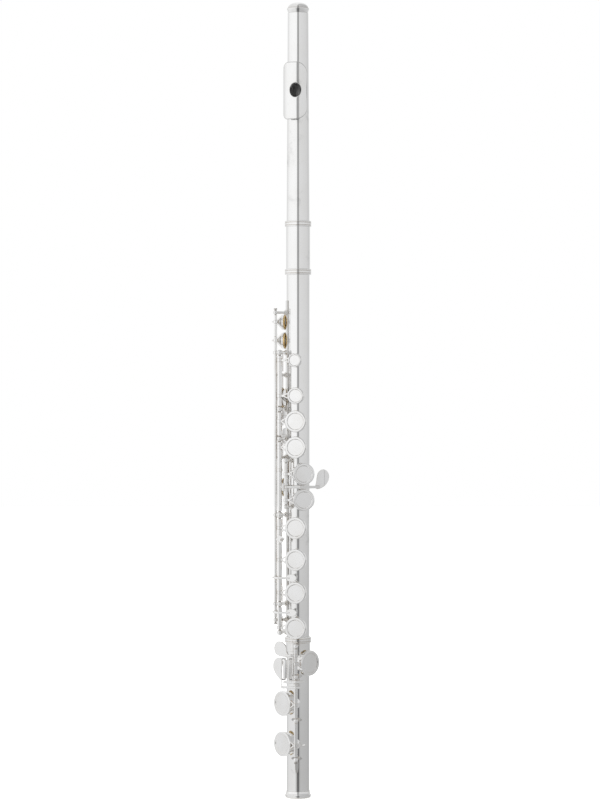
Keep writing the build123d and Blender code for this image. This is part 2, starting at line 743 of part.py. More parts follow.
def g_sharp_key():
    """Lever over the tube to the right, with its cup behind the rods on the left."""
    hole = HOLES["g_sharp"]
    low = G_SHARP_LEVER_Z - G_SHARP_HUB_H / 2
    high = G_SHARP_LEVER_Z + G_SHARP_HUB_H / 2
    place = seat(hole, G_ROD)
    landing = place.plane.from_local_coords(Vector(6.2, 0, 3.6))
    inner_route = [G_ROD.centre, *G_SHARP_INNER, Vector(landing.X, landing.Y)]
    outer_route = [G_ROD.centre, *G_SHARP_OUTER]
    cavity = upright(G_SHARP_CUP_R - CUP_WALL, -CUP_H, CUP_H - CUP_ROOF)
    metal = strip(inner_route, ARM_THICK, low, high) - place.plane * cavity
    metal += place.plane * cup(G_SHARP_CUP_R)
    metal += bent_bar(G_SHARP_BAR_R, [at(point, G_SHARP_LEVER_Z) for point in outer_route])
    leaf_plane = Plane(origin=G_SHARP_LEAF_AT, x_dir=(0, 0, 1), z_dir=outward(G_SHARP_LEAF_ANGLE))
    leaf = extrude(leaf_plane * make_face(Spline(*G_SHARP_LEAF, periodic=True)), -PLATE_THICK)
    dish = leaf_plane * Pos(0, 0.6, LEAF_DISH_R - LEAF_DISH_DEPTH) * Rot(-18, 90, 0)
    metal += leaf - dish * Cylinder(LEAF_DISH_R, 40)
    metal += upright(G_ROD.tube, low, high, G_ROD.centre)
    metal -= upright(G_ROD.bore, low - 1, high + 1, G_ROD.centre)
    return {
        "g_sharp_key": metal,
        "g_sharp_pad": key_pad("g_sharp", G_SHARP_CUP_R, G_ROD),
    }


def roller_frame(centre, side_x, z_low):
    """Side bar that stands on a lever, two lugs and the pin of a roller."""
    lug_low = ROLLER_Z[0] - 0.4 - ROLLER_LUG_H
    lug_high = ROLLER_Z[1] + 0.4
    top = lug_high + ROLLER_LUG_H
    side = Vector(side_x, centre.Y)
    frame = strip([side, side + Vector(0, 1.0)], ROLLER_SIDE_W, z_low, top)
    for z in (lug_low, lug_high):
        frame += strip([side, centre], 1.4, z, z + ROLLER_LUG_H)
    return frame + upright(ROLLER_PIN_R, lug_low, top, centre)


def roller(centre, radius):
    barrel_shape = bead(0, radius, ROLLER_Z[0], ROLLER_Z[1] - ROLLER_Z[0], 0.2)
    bore = upright(ROLLER_PIN_R + RUNNING_FIT, ROLLER_Z[0] - 1, ROLLER_Z[1] + 1, centre)
    return Pos(centre.X, centre.Y) * barrel_shape - bore


def foot_plate(centre, z, angle, outline):
    """Touch plate that faces outwards at an angle."""
    direction = outward(angle)
    sideways = Vector(-cos(radians(angle)), sin(radians(angle)))
    place = Plane(at(centre, z), x_dir=sideways, z_dir=direction)
    return extrude(place * outline, -PLATE_THICK)


def leaf_outline(points):
    """Face inside a closed smooth line through points."""
    return make_face(Spline(*points, periodic=True))


def low_d_sharp_key():
    """D sharp key: cup on the right, short lever and leaf on the left."""
    centre = FOOT_ROD.centre
    low, high = D_SHARP_LEVER_Z
    middle = (low + high) / 2
    route = [centre, Vector(-4, -20.6), Vector(-7.6, -20.4)]
    touch = bent_bar((high - low) / 2, [at(point, middle) for point in route])
    touch += foot_plate(*D_SHARP_LEAF_AT, leaf_outline(D_SHARP_LEAF))
    touch += upright(FOOT_ROD.tube + HUB_EXTRA, low, high, centre)
    span = between(FOOT_POSTS_Z[1], FOOT_POSTS_Z[0], THIN_BALL_R, THIN_BALL_R)
    return plain_key("low_d_sharp", FOOT_ROD, span, turn=0, radius=FOOT_CUP_R, extra=touch)


def low_c_sharp_key():
    """C sharp key: round lever, the side bar of its roller and the leaf beside it."""
    low, high = C_SHARP_LEVER_Z
    middle = (low + high) / 2
    corner = Vector(C_SHARP_SIDE_X, C_SHARP_ROLLER.Y + 0.4)
    route = [corner, FOOT_ROD.centre + Vector(0, -1.2), FOOT_ROD.centre + Vector(3.2, -0.4)]
    touch = bent_bar((high - low) / 2, [at(point, middle) for point in route])
    touch += roller_frame(C_SHARP_ROLLER, C_SHARP_SIDE_X, middle)
    touch += foot_plate(*C_SHARP_LEAF_AT, leaf_outline(C_SHARP_LEAF))
    bottom = FOOT_POSTS_Z[2] + THIN_BALL_R + END_GAP
    span = (bottom, C_LEVER_Z[0] - END_GAP)
    return plain_key("low_c_sharp", FOOT_ROD, span, OPEN_ANGLE, FOOT_CUP_R, touch)


def low_c_key():
    """Lowest key: its steel runs up through the C sharp tube to its own roller."""
    centre = FOOT_ROD.centre
    lever_low, lever_high = C_LEVER_Z
    middle = (lever_low + lever_high) / 2
    low, high = between(FOOT_POSTS_Z[3], FOOT_POSTS_Z[2], THIN_BALL_R, THIN_BALL_R)
    metal = cup_on_arm("low_c", FOOT_CUP_R, FOOT_ROD)
    metal += upright(FOOT_ROD.tube, low, high, centre)
    metal += upright(THIN_STEEL_R, low, lever_high, centre)
    metal += upright(FOOT_ROD.tube + HUB_EXTRA, lever_low, lever_high, centre)
    route = [
        Vector(C_LEVER_END_X, C_SHARP_ROLLER.Y),
        Vector(C_SIDE_X, C_ROLLER.Y - 0.4),
        centre + Vector(0, -1.2),
        centre + Vector(6.0, 0.4),
    ]
    metal += bent_bar((lever_high - lever_low) / 2 - 0.1, [at(point, middle) for point in route])
    metal += roller_frame(C_ROLLER, C_SIDE_X, middle)
    tail_z = HOLES["low_c"].z - 0.6
    metal += strip([centre, Vector(8.4, -17.0)], 1.1, tail_z, tail_z + 1.2)
    socket = PIN_DEPTH + 0.2
    metal -= upright(PIN_R + RUNNING_FIT, low - 1, low + socket, centre)
    metal -= upright(PIN_R + RUNNING_FIT, lever_high - socket, lever_high + 1, centre)
    return {
        "low_c_key": turned(metal, centre, OPEN_ANGLE),
        "low_c_pad": turned(key_pad("low_c", FOOT_CUP_R, FOOT_ROD), centre, OPEN_ANGLE),
    }


def rollers():
    c_sharp = roller(C_SHARP_ROLLER, C_SHARP_ROLLER_R)
    c = roller(C_ROLLER, C_ROLLER_R)
    return {
        "c_sharp_roller": turned(c_sharp, FOOT_ROD.centre, OPEN_ANGLE),
        "c_roller": turned(c, FOOT_ROD.centre, OPEN_ANGLE),
    }


def main_rib():
    """Strap along the left of the body, cleared round the side tone holes."""
    reach = 2 * RIB_R
    corners = [Vector(0, 0)] + [outward(angle) * reach for angle in RIB_ANGLES]
    wedge = extrude(make_face(Polyline(*corners, close=True)), RIB_Z[1] - RIB_Z[0])
    rib = sleeve(RIB_R, TUBE_R, *RIB_Z) & (Pos(0, 0, RIB_Z[0]) * wedge)
    for name in ("d_sharp_trill", "d_trill", "thumb_b", "g_sharp"):
        hole = HOLES[name]
        rib -= facing(hole, 0) * upright(hole.radius + CHIMNEY_RIM + 0.2, 0, hole.rim + 2)
    return rib


def post(rod, z, stand_angle, stand_r, ball=BALL_R, base=POST_BASE_R):
    """Ball-headed post from the tube's surface to a rod."""
    direction = outward(stand_angle)
    top = at(rod.centre, z)
    shaft = column(POST_R, at(direction * (stand_r - 0.5), z), top)
    shoe = column(base, at(direction * (stand_r - 1), z), at(direction * (stand_r + POST_BASE_H), z))
    neck = column(1.7, at(direction * stand_r, z), at(direction * (stand_r + 1.8), z))
    head = Pos(top) * Sphere(ball)
    return shaft + shoe + neck + head - upright(stand_r, z - 6, z + 6)


def rod_angle(rod):
    return degrees(atan2(-rod.centre.X, -rod.centre.Y))


def body_posts():
    """Every post on the body, by the rod it serves."""
    posts = []
    for z in MAIN_POSTS_Z:
        ball = BIG_BALL_R if z == MAIN_POSTS_Z[3] else BALL_R
        one = post(MAIN_ROD, z, POST_LEAN_ANGLE, RIB_R, ball)
        if z in TRILL_GUIDES_Z:
            low, high = z - GUIDE_H / 2, z + GUIDE_H / 2
            one += strip([MAIN_ROD.centre, TRILL_ROD.centre], 1.8, low, high)
            one += upright(TRILL_ROD.tube + GUIDE_WALL, low, high, TRILL_ROD.centre)
            one -= upright(TRILL_ROD.tube + RUNNING_FIT, low - 1, high + 1, TRILL_ROD.centre)
        posts.append(one)
    for z in THUMB_POSTS_Z:
        posts.append(post(THUMB_ROD, z, rod_angle(THUMB_ROD), RIB_R, THIN_BALL_R))
    for z in TRILL_POSTS_Z:
        posts.append(post(TRILL_ROD, z, rod_angle(TRILL_ROD), RIB_R, THIN_BALL_R))
    for z in G_POSTS_Z:
        posts.append(post(G_ROD, z, rod_angle(G_ROD), TUBE_R, THIN_BALL_R, 1.9))
    return posts


def foot_posts():
    """Posts of the foot rod, the top one on the receiver."""
    on_receiver = post(FOOT_ROD, FOOT_POSTS_Z[0], 0, RECEIVER_R, THIN_BALL_R, 1.6)
    posts = [on_receiver]
    for z in FOOT_POSTS_Z[1:]:
        one = post(FOOT_ROD, z, 0, TUBE_R, THIN_BALL_R, 1.9)
        shoe = Plane(origin=(0, -TUBE_R + 1, z), x_dir=(1, 0, 0), z_dir=(0, -1, 0))
        one += extrude(shoe * Ellipse(4.6, 1.6), 1.5) - upright(TUBE_R, z - 6, z + 6)
        posts.append(one)
    tail_z = FOOT_POSTS_Z[3] - 6.5
    tail_plane = Plane(origin=(0, -TUBE_R + 1, tail_z), x_dir=(1, 0, 0), z_dir=(0, -1, 0))
    tail = extrude(tail_plane * Ellipse(1.5, 6.5), 1.6)
    posts[3] += tail - upright(TUBE_R, 15, 40)
    return posts


def steels():
    """Fixed steels that the hinge tubes turn on."""
    big_z = MAIN_POSTS_Z[3]
    top = MAIN_POSTS_Z[0] + MAIN_STEEL_END
    bottom = MAIN_POSTS_Z[5] - MAIN_STEEL_END
    thumb_top, thumb_bottom = THUMB_POSTS_Z
    g_top, g_bottom = G_POSTS_Z
    foot_top, foot_bottom = FOOT_POSTS_Z[:2]
    end = THIN_STEEL_END
    return {
        "upper_stack_steel": upright(MAIN_STEEL_R, big_z, top, MAIN_ROD.centre),
        "lower_stack_steel": upright(MAIN_STEEL_R, bottom, big_z, MAIN_ROD.centre),
        "thumb_steel": upright(THIN_STEEL_R, thumb_bottom - end, thumb_top + end, THUMB_ROD.centre),
        "g_steel": upright(THIN_STEEL_R, g_bottom - end, g_top + end, G_ROD.centre),
        "foot_steel": upright(THIN_STEEL_R, foot_bottom, foot_top + end, FOOT_ROD.centre),
    }


def pivot_screw(rod, z, way):
    """Slotted screw through a post ball, with a pin that a turning steel runs on."""
    reach = THIN_BALL_R + END_GAP
    shank = upright(SCREW_R, -THIN_BALL_R, THIN_BALL_R + 0.4)
    head_low = THIN_BALL_R + 0.4
    head = upright(SCREW_HEAD_R, head_low, head_low + SCREW_HEAD_H)
    slot = Pos(0, 0, head_low + SCREW_HEAD_H) * Box(0.4, 3 * SCREW_HEAD_R, 0.9)
    pin = upright(PIN_R, -reach - PIN_DEPTH, -THIN_BALL_R)
    screw = shank + head - slot + pin
    if way < 0:
        screw = Rot(180, 0, 0) * screw
    return Pos(rod.centre.X, rod.centre.Y, z) * screw


def upper_foot_pin():
    """Pin under the second foot post, which holds the top of the low C steel."""
    z = FOOT_POSTS_Z[1]
    return upright(PIN_R, z - THIN_BALL_R - END_GAP - PIN_DEPTH, z, FOOT_ROD.centre)


def needle_spring(rod, stand_angle, stand_r, z, length):
    """Fine steel needle fixed in a post's shaft and lying along its rod."""
    foot = outward(stand_angle) * stand_r
    place = (foot + rod.centre) * 0.5
    start = z - 1.5 if length > 0 else z + 1.5
    low, high = sorted((start, z + length))
    return upright(SPRING_R, low, high, place)


def body_springs():
    lengths = (-16, -14, -12, -15, 15, 14)
    springs = []
    for z, length in zip(MAIN_POSTS_Z, lengths):
        springs.append(needle_spring(MAIN_ROD, POST_LEAN_ANGLE, RIB_R, z, length))
    for z, length in zip(THUMB_POSTS_Z, (-13, 13)):
        springs.append(needle_spring(THUMB_ROD, rod_angle(THUMB_ROD), RIB_R, z, length))
    for z, length in zip(G_POSTS_Z, (-12, 12)):
        springs.append(needle_spring(G_ROD, rod_angle(G_ROD), TUBE_R, z, length))
    return springs


def foot_springs():
    springs = []
    for z, length in zip(FOOT_POSTS_Z, (-12, -12, 12, 12)):
        springs.append(needle_spring(FOOT_ROD, 0, TUBE_R, z, length))
    return springs


def cut_each(shapes, *tools):
    """Shapes with every tool taken out of each."""
    result = []
    for shape in shapes:
        for tool in tools:
            shape = shape - tool
        result.append(shape)
    return result


def fixed_work():
    """Tubes, rib, posts, steels, screws and springs, each cut to fit the next."""
    body = body_tube()
    foot = foot_tube()
    rib = main_rib()
    rods = steels()
    springs = body_springs()
    low_springs = foot_springs()
    screws = [pivot_screw(TRILL_ROD, z, way) for z, way in zip(TRILL_POSTS_Z, (1, -1))]
    foot_screws = [upper_foot_pin(), pivot_screw(FOOT_ROD, FOOT_POSTS_Z[3], -1)]
    rods["foot_steel"] -= foot_screws[0]
    third_z = FOOT_POSTS_Z[2]
    passage = upright(THIN_STEEL_R + RUNNING_FIT, third_z - 5, third_z + 5, FOOT_ROD.centre)
    tools = [body, rib, *rods.values(), *springs, *screws]
    foot_tools = [foot, rods["foot_steel"], *low_springs, *foot_screws, passage]
    return {
        "body_tube": body,
        "foot_tube": foot,
        "main_rib": rib,
        "posts": cut_each(body_posts(), *tools),
        "foot_posts": cut_each(foot_posts(), *foot_tools),
        "needle_springs": springs,
        "foot_springs": low_springs,
        "pivot_screws": screws,
        "foot_screws": foot_screws,
        **rods,
    }


def all_nodes():
    return {
        **fixed_work(),
        "barrel": barrel(),
        "barrel_rings": barrel_rings(),
        "foot_receiver": foot_receiver(),
        "foot_end_ring": foot_end_ring(),
        "head_tube": head_tube(),
        "riser": riser(),
        "lip_plate": lip_plate(),
        "stopper_cork": stopper_cork(),
        "stopper_rod": stopper_rod(),
        "crown": crown(),
        **upper_stack(),
        **lower_stack(),
        **trill_keys(),
        **thumb_keys(),
        **g_key(),
        **g_sharp_key(),
        **low_d_sharp_key(),
        **low_c_sharp_key(),
        **low_c_key(),
        **rollers(),
    }


def write(nodes):
    os.makedirs("parts", exist_ok=True)
    for name, shape in nodes.items():
        solids = shape if isinstance(shape, list) else [shape]
        group = Compound(children=[solid for one in solids for solid in one.solids()])
        export_step(group, f"parts/{name}.step")


if __name__ == "__main__":
    write(all_nodes())
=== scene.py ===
import json
import math
from collections import namedtuple
import bmesh
import bpy
import numpy as np
from mathutils import Matrix, Vector, noise
from mathutils.geometry import delaunay_2d_cdt


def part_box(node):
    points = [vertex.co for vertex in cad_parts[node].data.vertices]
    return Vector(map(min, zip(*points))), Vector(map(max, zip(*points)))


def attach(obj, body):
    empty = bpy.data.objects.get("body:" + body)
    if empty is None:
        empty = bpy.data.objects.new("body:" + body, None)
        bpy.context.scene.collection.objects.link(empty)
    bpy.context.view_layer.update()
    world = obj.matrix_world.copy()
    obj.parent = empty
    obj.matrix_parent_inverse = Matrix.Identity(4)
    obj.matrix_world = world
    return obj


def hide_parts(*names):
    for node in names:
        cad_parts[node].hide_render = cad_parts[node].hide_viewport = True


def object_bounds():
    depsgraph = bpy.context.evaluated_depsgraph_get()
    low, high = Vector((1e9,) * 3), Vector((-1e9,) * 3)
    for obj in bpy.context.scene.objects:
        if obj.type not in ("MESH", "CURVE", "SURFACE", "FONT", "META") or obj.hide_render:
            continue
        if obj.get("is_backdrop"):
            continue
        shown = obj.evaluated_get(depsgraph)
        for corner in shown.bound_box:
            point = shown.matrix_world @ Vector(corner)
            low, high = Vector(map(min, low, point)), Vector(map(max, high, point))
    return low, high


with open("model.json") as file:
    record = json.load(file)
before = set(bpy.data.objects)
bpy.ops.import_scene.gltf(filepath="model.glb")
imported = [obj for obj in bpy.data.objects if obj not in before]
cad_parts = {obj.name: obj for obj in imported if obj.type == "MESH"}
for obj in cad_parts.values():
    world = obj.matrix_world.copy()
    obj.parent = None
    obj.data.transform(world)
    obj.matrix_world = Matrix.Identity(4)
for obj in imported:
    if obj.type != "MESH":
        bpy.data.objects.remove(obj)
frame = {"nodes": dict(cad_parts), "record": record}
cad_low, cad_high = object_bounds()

# A polished silver-plated concert flute that stands on its foot end, against white.
# Metres, in the frame of the CAD model: +Z up the tube, the line of keys towards -Y.
# Angles round the tube are in degrees from the key line, positive towards -X.

MM = 0.001
nodes = frame["nodes"]

# Driving sizes
TUBE_R = 9.9 * MM
HEAD_ANGLE = 4.2
HEAD_TAPER_START = 495 * MM
HEAD_END_R = 8.9 * MM
TUBE_WALL = 0.4 * MM
BARREL_RING_H = 5.0 * MM
RECEIVER_R = 10.45 * MM
RECEIVER_RING_H = 5.2 * MM
SLIDE_FIT = 0.04 * MM
EMBOUCHURE_Z = 604.3 * MM
EMBOUCHURE_HALF = (5.0 * MM, 6.1 * MM)
RISER_WALL = 1.0 * MM
LIP_CENTRE_Z = 603.9 * MM
LIP_HALF_Z = 24.5 * MM
LIP_SIDES = ((12.7 * MM, 5.5 * MM), (9.6 * MM, 9.0 * MM))
LIP_CORNER_Z = 9.0 * MM
LIP_R = 12.6 * MM
LIP_OFFSET = 1.2 * MM
LIP_THICK = 0.9 * MM
LIP_EDGE_Y = 2.2 * MM
CROWN_RING_H = 3.9 * MM
CROWN_GAP = 0.3 * MM
DOME_INSET = 0.7 * MM
DOME_STEPS = 24
GROOVES = (0.27, 0.73)  # shares of a turned ring's height
BAR_ROOT = (-4.6 * MM, -15.9 * MM, 45.0 * MM)
BAR_TIP = (8.6 * MM, -17.0 * MM, 46.9 * MM)
BAR_R = 0.85 * MM
BAR_ROWS = 40
BAR_SIDES = 32
AROUND = 144
Hole = namedtuple("Hole", "angle z radius rim")
RIM = 12.1
TRILL_RIM = 10.4
BODY_HOLES = (
    Hole(101, 406.8, 3.75, TRILL_RIM),
    Hole(101, 390.9, 3.75, TRILL_RIM),
    Hole(3, 373.9, 3.75, RIM),
    Hole(0, 343.6, 5.5, RIM),
    Hole(106, 341.8, 6.5, RIM),
    Hole(0, 321.8, 7.25, RIM),
    Hole(0, 299.6, 7.25, RIM),
    Hole(-25, 277.0, 7.25, RIM),
    Hole(97, 265.2, 6.0, RIM),
    Hole(-25, 254.8, 7.25, RIM),
    Hole(0, 230.9, 7.25, RIM),
    Hole(0, 203.8, 7.25, RIM),
    Hole(0, 175.8, 7.25, RIM),
    Hole(0, 145.7, 7.25, RIM),
)
FOOT_HOLES = (
    Hole(-50, 115.6, 8.25, RIM),
    Hole(50, 81.0, 8.25, RIM),
    Hole(50, 46.4, 8.25, RIM),
)
CHIMNEY_WALL = 0.45 * MM
CHIMNEY_RIM = 0.85 * MM
CHIMNEY_FILLET = 0.5 * MM
ROLL_R = 0.3 * MM

# Heights read from the frame
HEAD_LOW, HEAD_HIGH = (corner.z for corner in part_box("head_tube"))
BODY_LOW, BODY_HIGH = (corner.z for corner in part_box("body_tube"))
FOOT_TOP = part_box("foot_tube")[1].z
BARREL_LOW, BARREL_HIGH = (corner.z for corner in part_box("barrel"))
BARREL_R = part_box("barrel")[1].x
RECEIVER_LOW, RECEIVER_HIGH = (corner.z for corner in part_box("foot_receiver"))
RING_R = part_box("barrel_rings")[1].x
END_RING_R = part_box("foot_end_ring")[1].x
END_RING_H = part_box("foot_end_ring")[1].z
CROWN_LOW, CROWN_HIGH = (corner.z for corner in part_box("crown"))
CROWN_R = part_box("crown")[1].x


# ------------------------------------------------------------------ shapes

def outward(angle):
    """Unit vector away from the tube's axis at an angle from the key line."""
    turn = math.radians(angle)
    return Vector((-math.sin(turn), -math.cos(turn), 0))


def add_piece(name, mesh, body, material, stands_for=(), within=None):
    """Put a mesh on a body with its material, in the place of CAD nodes."""
    piece = bpy.data.objects.new(name, mesh)
    bpy.context.scene.collection.objects.link(piece)
    mesh.materials.append(material)
    if within:
        mesh.materials.append(within)
    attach(piece, body)
    if stands_for:
        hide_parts(*stands_for)
    return piece


def smooth_mesh(shape, name, sharp=35):
    """Mesh of a bmesh with smooth faces and sharp creases."""
    bmesh.ops.recalc_face_normals(shape, faces=shape.faces)
    mesh = bpy.data.meshes.new(name)
    shape.to_mesh(mesh)
    shape.free()
    mesh.shade_smooth()
    mesh.set_sharp_from_angle(angle=math.radians(sharp))
    return mesh


def bridge(shape, low, high):
    """Faces between two closed rings, or between a ring and a single point."""
    count = max(len(low), len(high))
    for step in range(count):
        after = (step + 1) % count
        if len(low) == 1:
            shape.faces.new((low[0], high[after], high[step]))
        elif len(high) == 1:
            shape.faces.new((low[step], low[after], high[0]))
        else:
            shape.faces.new((low[step], low[after], high[after], high[step]))


def turned_mesh(name, profile, sharp=35):
    """Mesh turned round Z from a closed outline of (radius, height) points."""
    shape = bmesh.new()
    rings = []
    for radius, height in profile:
        count = AROUND if radius > 1e-6 else 1
        turns = [2 * math.pi * step / count for step in range(count)]
        rings.append([
            shape.verts.new((radius * math.cos(turn), radius * math.sin(turn), height))
            for turn in turns
        ])
    for low, high in zip(rings, rings[1:] + rings[:1]):
        if len(low) > 1 or len(high) > 1:
            bridge(shape, low, high)
    return smooth_mesh(shape, name, sharp)


def curved(start, end, middle, steps=8):
    """Points of a soft corner from start to end that heads for middle."""
    points = []
    for step in range(steps + 1):
        t = step / steps
        near, far, pull = (1 - t) ** 2, t ** 2, 2 * t * (1 - t)
        points.append(tuple(
            near * a + pull * b + far * c for a, b, c in zip(start, middle, end)
        ))
    return points


def ring_profile(inner, outer, low, height):
    """Outline of a turned ring: flat band with round corners and two fine grooves."""
    corner, groove, depth = 0.6 * MM, 0.2 * MM, 0.25 * MM
    points = [(inner, low + height), (inner, low)]
    points += curved((outer - corner, low), (outer, low + corner), (outer, low), 5)
    for share in GROOVES:
        middle = low + share * height
        points += [(outer, middle - groove), (outer - depth, middle), (outer, middle + groove)]
    top = low + height
    points += curved((outer, top - corner), (outer - corner, top), (outer, top), 5)
    return points


# ------------------------------------------------------------------ tubes with tone holes

Opening = namedtuple("Opening", "angle z across up")
SKIN_OUT, SKIN_IN, WALL_OUT, WALL_IN, LIP, END = range(6)
HOLE_STEPS = 56
LIP_STEPS = 128
CLEAR_OF_EDGE = 1.04
ROW_STEP = 9 * MM
SAME_POINT = 1e-4
WELD = 1e-7


def edge_of(opening, grow, radius_at):
    """Points (angle, z) where an oval prism of the opening meets a tube."""
    points = []
    for step in range(HOLE_STEPS):
        turn = 2 * math.pi * step / HOLE_STEPS
        side = (opening.across + grow) * math.cos(turn)
        z = opening.z + (opening.up + grow) * math.sin(turn)
        points.append((opening.angle + math.degrees(math.asin(side / radius_at(z))), z))
    return points


def inside(point, polygon):
    """Whether a point lies in a polygon."""
    x, y = point
    hit = False
    for (ax, ay), (bx, by) in zip(polygon, polygon[1:] + polygon[:1]):
        if (ay > y) != (by > y) and x < ax + (y - ay) * (bx - ax) / (by - ay):
            hit = not hit
    return hit


def skin(shape, kinds, kind, radius_at, z_rows, edges):
    """Surface of a tube with gaps at the edges; returns the ring of vertices of each gap."""
    columns = [360 * step / AROUND - 180 for step in range(AROUND + 1)]
    flat, sides = [], []
    rings = []
    for edge in edges:
        start = len(flat)
        flat += edge
        count = len(edge)
        sides += [(start + step, start + (step + 1) % count) for step in range(count)]
        rings.append(range(start, start + count))
    for z in z_rows:
        for angle in columns:
            clear = True
            for edge in edges:
                middle_a = sum(p[0] for p in edge) / len(edge)
                middle_z = sum(p[1] for p in edge) / len(edge)
                reach_a = max(p[0] for p in edge) - middle_a
                reach_z = max(p[1] for p in edge) - middle_z
                share = math.hypot((angle - middle_a) / reach_a, (z - middle_z) / reach_z)
                clear = clear and share > CLEAR_OF_EDGE
            if clear:
                flat.append((angle, z))
    scale = math.radians(1) * radius_at(z_rows[0])
    coords = [Vector((angle * scale / MM, z / MM)) for angle, z in flat]
    points, _, faces, origins, _, _ = delaunay_2d_cdt(coords, sides, [], 0, SAME_POINT)
    found = {}
    verts = []
    for point in points:
        angle, z = point.x * MM / scale, point.y * MM
        key = (-180.0 if angle > 179.99 else round(angle, 5), round(z, 8))
        if key not in found:
            place = outward(key[0]) * radius_at(z)
            found[key] = shape.verts.new((place.x, place.y, z))
        verts.append(found[key])
    from_input = {old: new for new, olds in enumerate(origins) for old in olds}
    for face in faces:
        middle = (
            sum(points[i].x for i in face) * MM / scale / len(face),
            sum(points[i].y for i in face) * MM / len(face),
        )
        if any(inside(middle, edge) for edge in edges):
            continue
        made = shape.faces.new([verts[i] for i in face])
        made[kinds] = kind
    return [[verts[from_input[i]] for i in ring] for ring in rings]


def ring_at(shape, opening, grow, distance):
    """Ring of vertices round an opening; distance is a number or a function of the side offset."""
    direction = outward(opening.angle)
    sideways = outward(opening.angle + 90)
    ring = []
    for step in range(HOLE_STEPS):
        turn = 2 * math.pi * step / HOLE_STEPS
        side = (opening.across + grow) * math.cos(turn)
        up = (opening.up + grow) * math.sin(turn)
        away = distance(side, opening.z + up) if callable(distance) else distance
        place = direction * away + sideways * side
        ring.append(shape.verts.new((place.x, place.y, opening.z + up)))
    return ring


def band(shape, kinds, tags, kind, tag, low, high):
    """Faces of one kind between two rings."""
    count = len(low)
    for step in range(count):
        after = (step + 1) % count
        face = shape.faces.new((low[step], low[after], high[after], high[step]))
        face[kinds] = kind
        face[tags] = tag


def pierced_tube(name, radius_at, wall, z_low, z_high, holes, chimneys):
    """Tube with tone holes, their drawn chimneys and rolled rims."""
    shape = bmesh.new()
    kinds = shape.faces.layers.int.new("kind")
    tags = shape.faces.layers.int.new("tag")
    rows = max(2, round((z_high - z_low) / ROW_STEP))
    z_rows = [z_low + (z_high - z_low) * step / rows for step in range(rows + 1)]
    bore_at = lambda z: radius_at(z) - wall
    foot = CHIMNEY_WALL + CHIMNEY_FILLET if chimneys else 0
    openings = [opening for opening, rim in holes]
    outer_edges = [edge_of(opening, foot, radius_at) for opening in openings]
    inner_edges = [edge_of(opening, 0, bore_at) for opening in openings]
    outside = skin(shape, kinds, SKIN_OUT, radius_at, z_rows, outer_edges)
    within = skin(shape, kinds, SKIN_IN, bore_at, z_rows, inner_edges)
    for tag, (opening, rim) in enumerate(holes):
        base, bore_edge = outside[tag], within[tag]
        if not chimneys:
            band(shape, kinds, tags, WALL_IN, tag, base, bore_edge)
            continue
        on_tube = lambda side, z: math.sqrt(radius_at(z) ** 2 - side ** 2)
        stages = [
            (CHIMNEY_WALL + CHIMNEY_FILLET * 0.45, lambda s, z: on_tube(s, z) + CHIMNEY_FILLET * 0.12),
            (CHIMNEY_WALL + CHIMNEY_FILLET * 0.15, lambda s, z: on_tube(s, z) + CHIMNEY_FILLET * 0.45),
            (CHIMNEY_WALL, lambda s, z: on_tube(s, z) + CHIMNEY_FILLET),
        ]
        last = base
        for grow, distance in stages:
            ring = ring_at(shape, opening, grow, distance)
            band(shape, kinds, tags, LIP, tag, last, ring)
            last = ring
        neck = ring_at(shape, opening, CHIMNEY_WALL, rim - 2 * ROLL_R)
        band(shape, kinds, tags, WALL_OUT, tag, last, neck)
        last = neck
        for turn in range(-60, 181, 30):
            grow = CHIMNEY_RIM - ROLL_R + ROLL_R * math.cos(math.radians(turn))
            away = rim - ROLL_R + ROLL_R * math.sin(math.radians(turn))
            ring = ring_at(shape, opening, grow, away)
            band(shape, kinds, tags, LIP, tag, last, ring)
            last = ring
        top = ring_at(shape, opening, 0, rim - 2 * ROLL_R)
        band(shape, kinds, tags, LIP, tag, last, top)
        band(shape, kinds, tags, WALL_IN, tag, top, bore_edge)
    for z, normal in ((z_low, -1), (z_high, 1)):
        rings = []
        for radius in (bore_at(z), radius_at(z)):
            ring = []
            for step in range(AROUND):
                place = outward(360 * step / AROUND - 180) * radius
                ring.append(shape.verts.new((place.x, place.y, z)))
            rings.append(ring)
        band(shape, kinds, tags, END, normal, rings[0], rings[1])
    bmesh.ops.remove_doubles(shape, verts=shape.verts, dist=WELD)
    bmesh.ops.recalc_face_normals(shape, faces=shape.faces)
    mesh = bpy.data.meshes.new(name)
    shape.to_mesh(mesh)
    shape.free()
    mesh.shade_smooth()
    face_kinds = [item.value for item in mesh.attributes["kind"].data]
    face_tags = [item.value for item in mesh.attributes["tag"].data]
    normals = [Vector((0, 0, 0))] * len(mesh.loops)
    for face in mesh.polygons:
        kind, tag = face_kinds[face.index], face_tags[face.index]
        face.material_index = int(kind in (SKIN_IN, WALL_IN))
        for loop in face.loop_indices:
            place = mesh.vertices[mesh.loops[loop].vertex_index].co
            radial = Vector((place.x, place.y, 0)).normalized()
            if kind == SKIN_OUT:
                normals[loop] = radial
            elif kind == SKIN_IN:
                normals[loop] = -radial
            elif kind == END:
                normals[loop] = Vector((0, 0, tag))
            elif kind in (WALL_OUT, WALL_IN):
                opening = openings[tag]
                direction = outward(opening.angle)
                offset = place - Vector((0, 0, opening.z))
                offset -= direction * offset.dot(direction)
                side = offset.dot(outward(opening.angle + 90)) / opening.across ** 2
                up = offset.z / opening.up ** 2
                flat = (outward(opening.angle + 90) * side + Vector((0, 0, up))).normalized()
                normals[loop] = flat if kind == WALL_OUT else -flat
    mesh.normals_split_custom_set(normals)
    return mesh


# ------------------------------------------------------------------ lip plate and riser

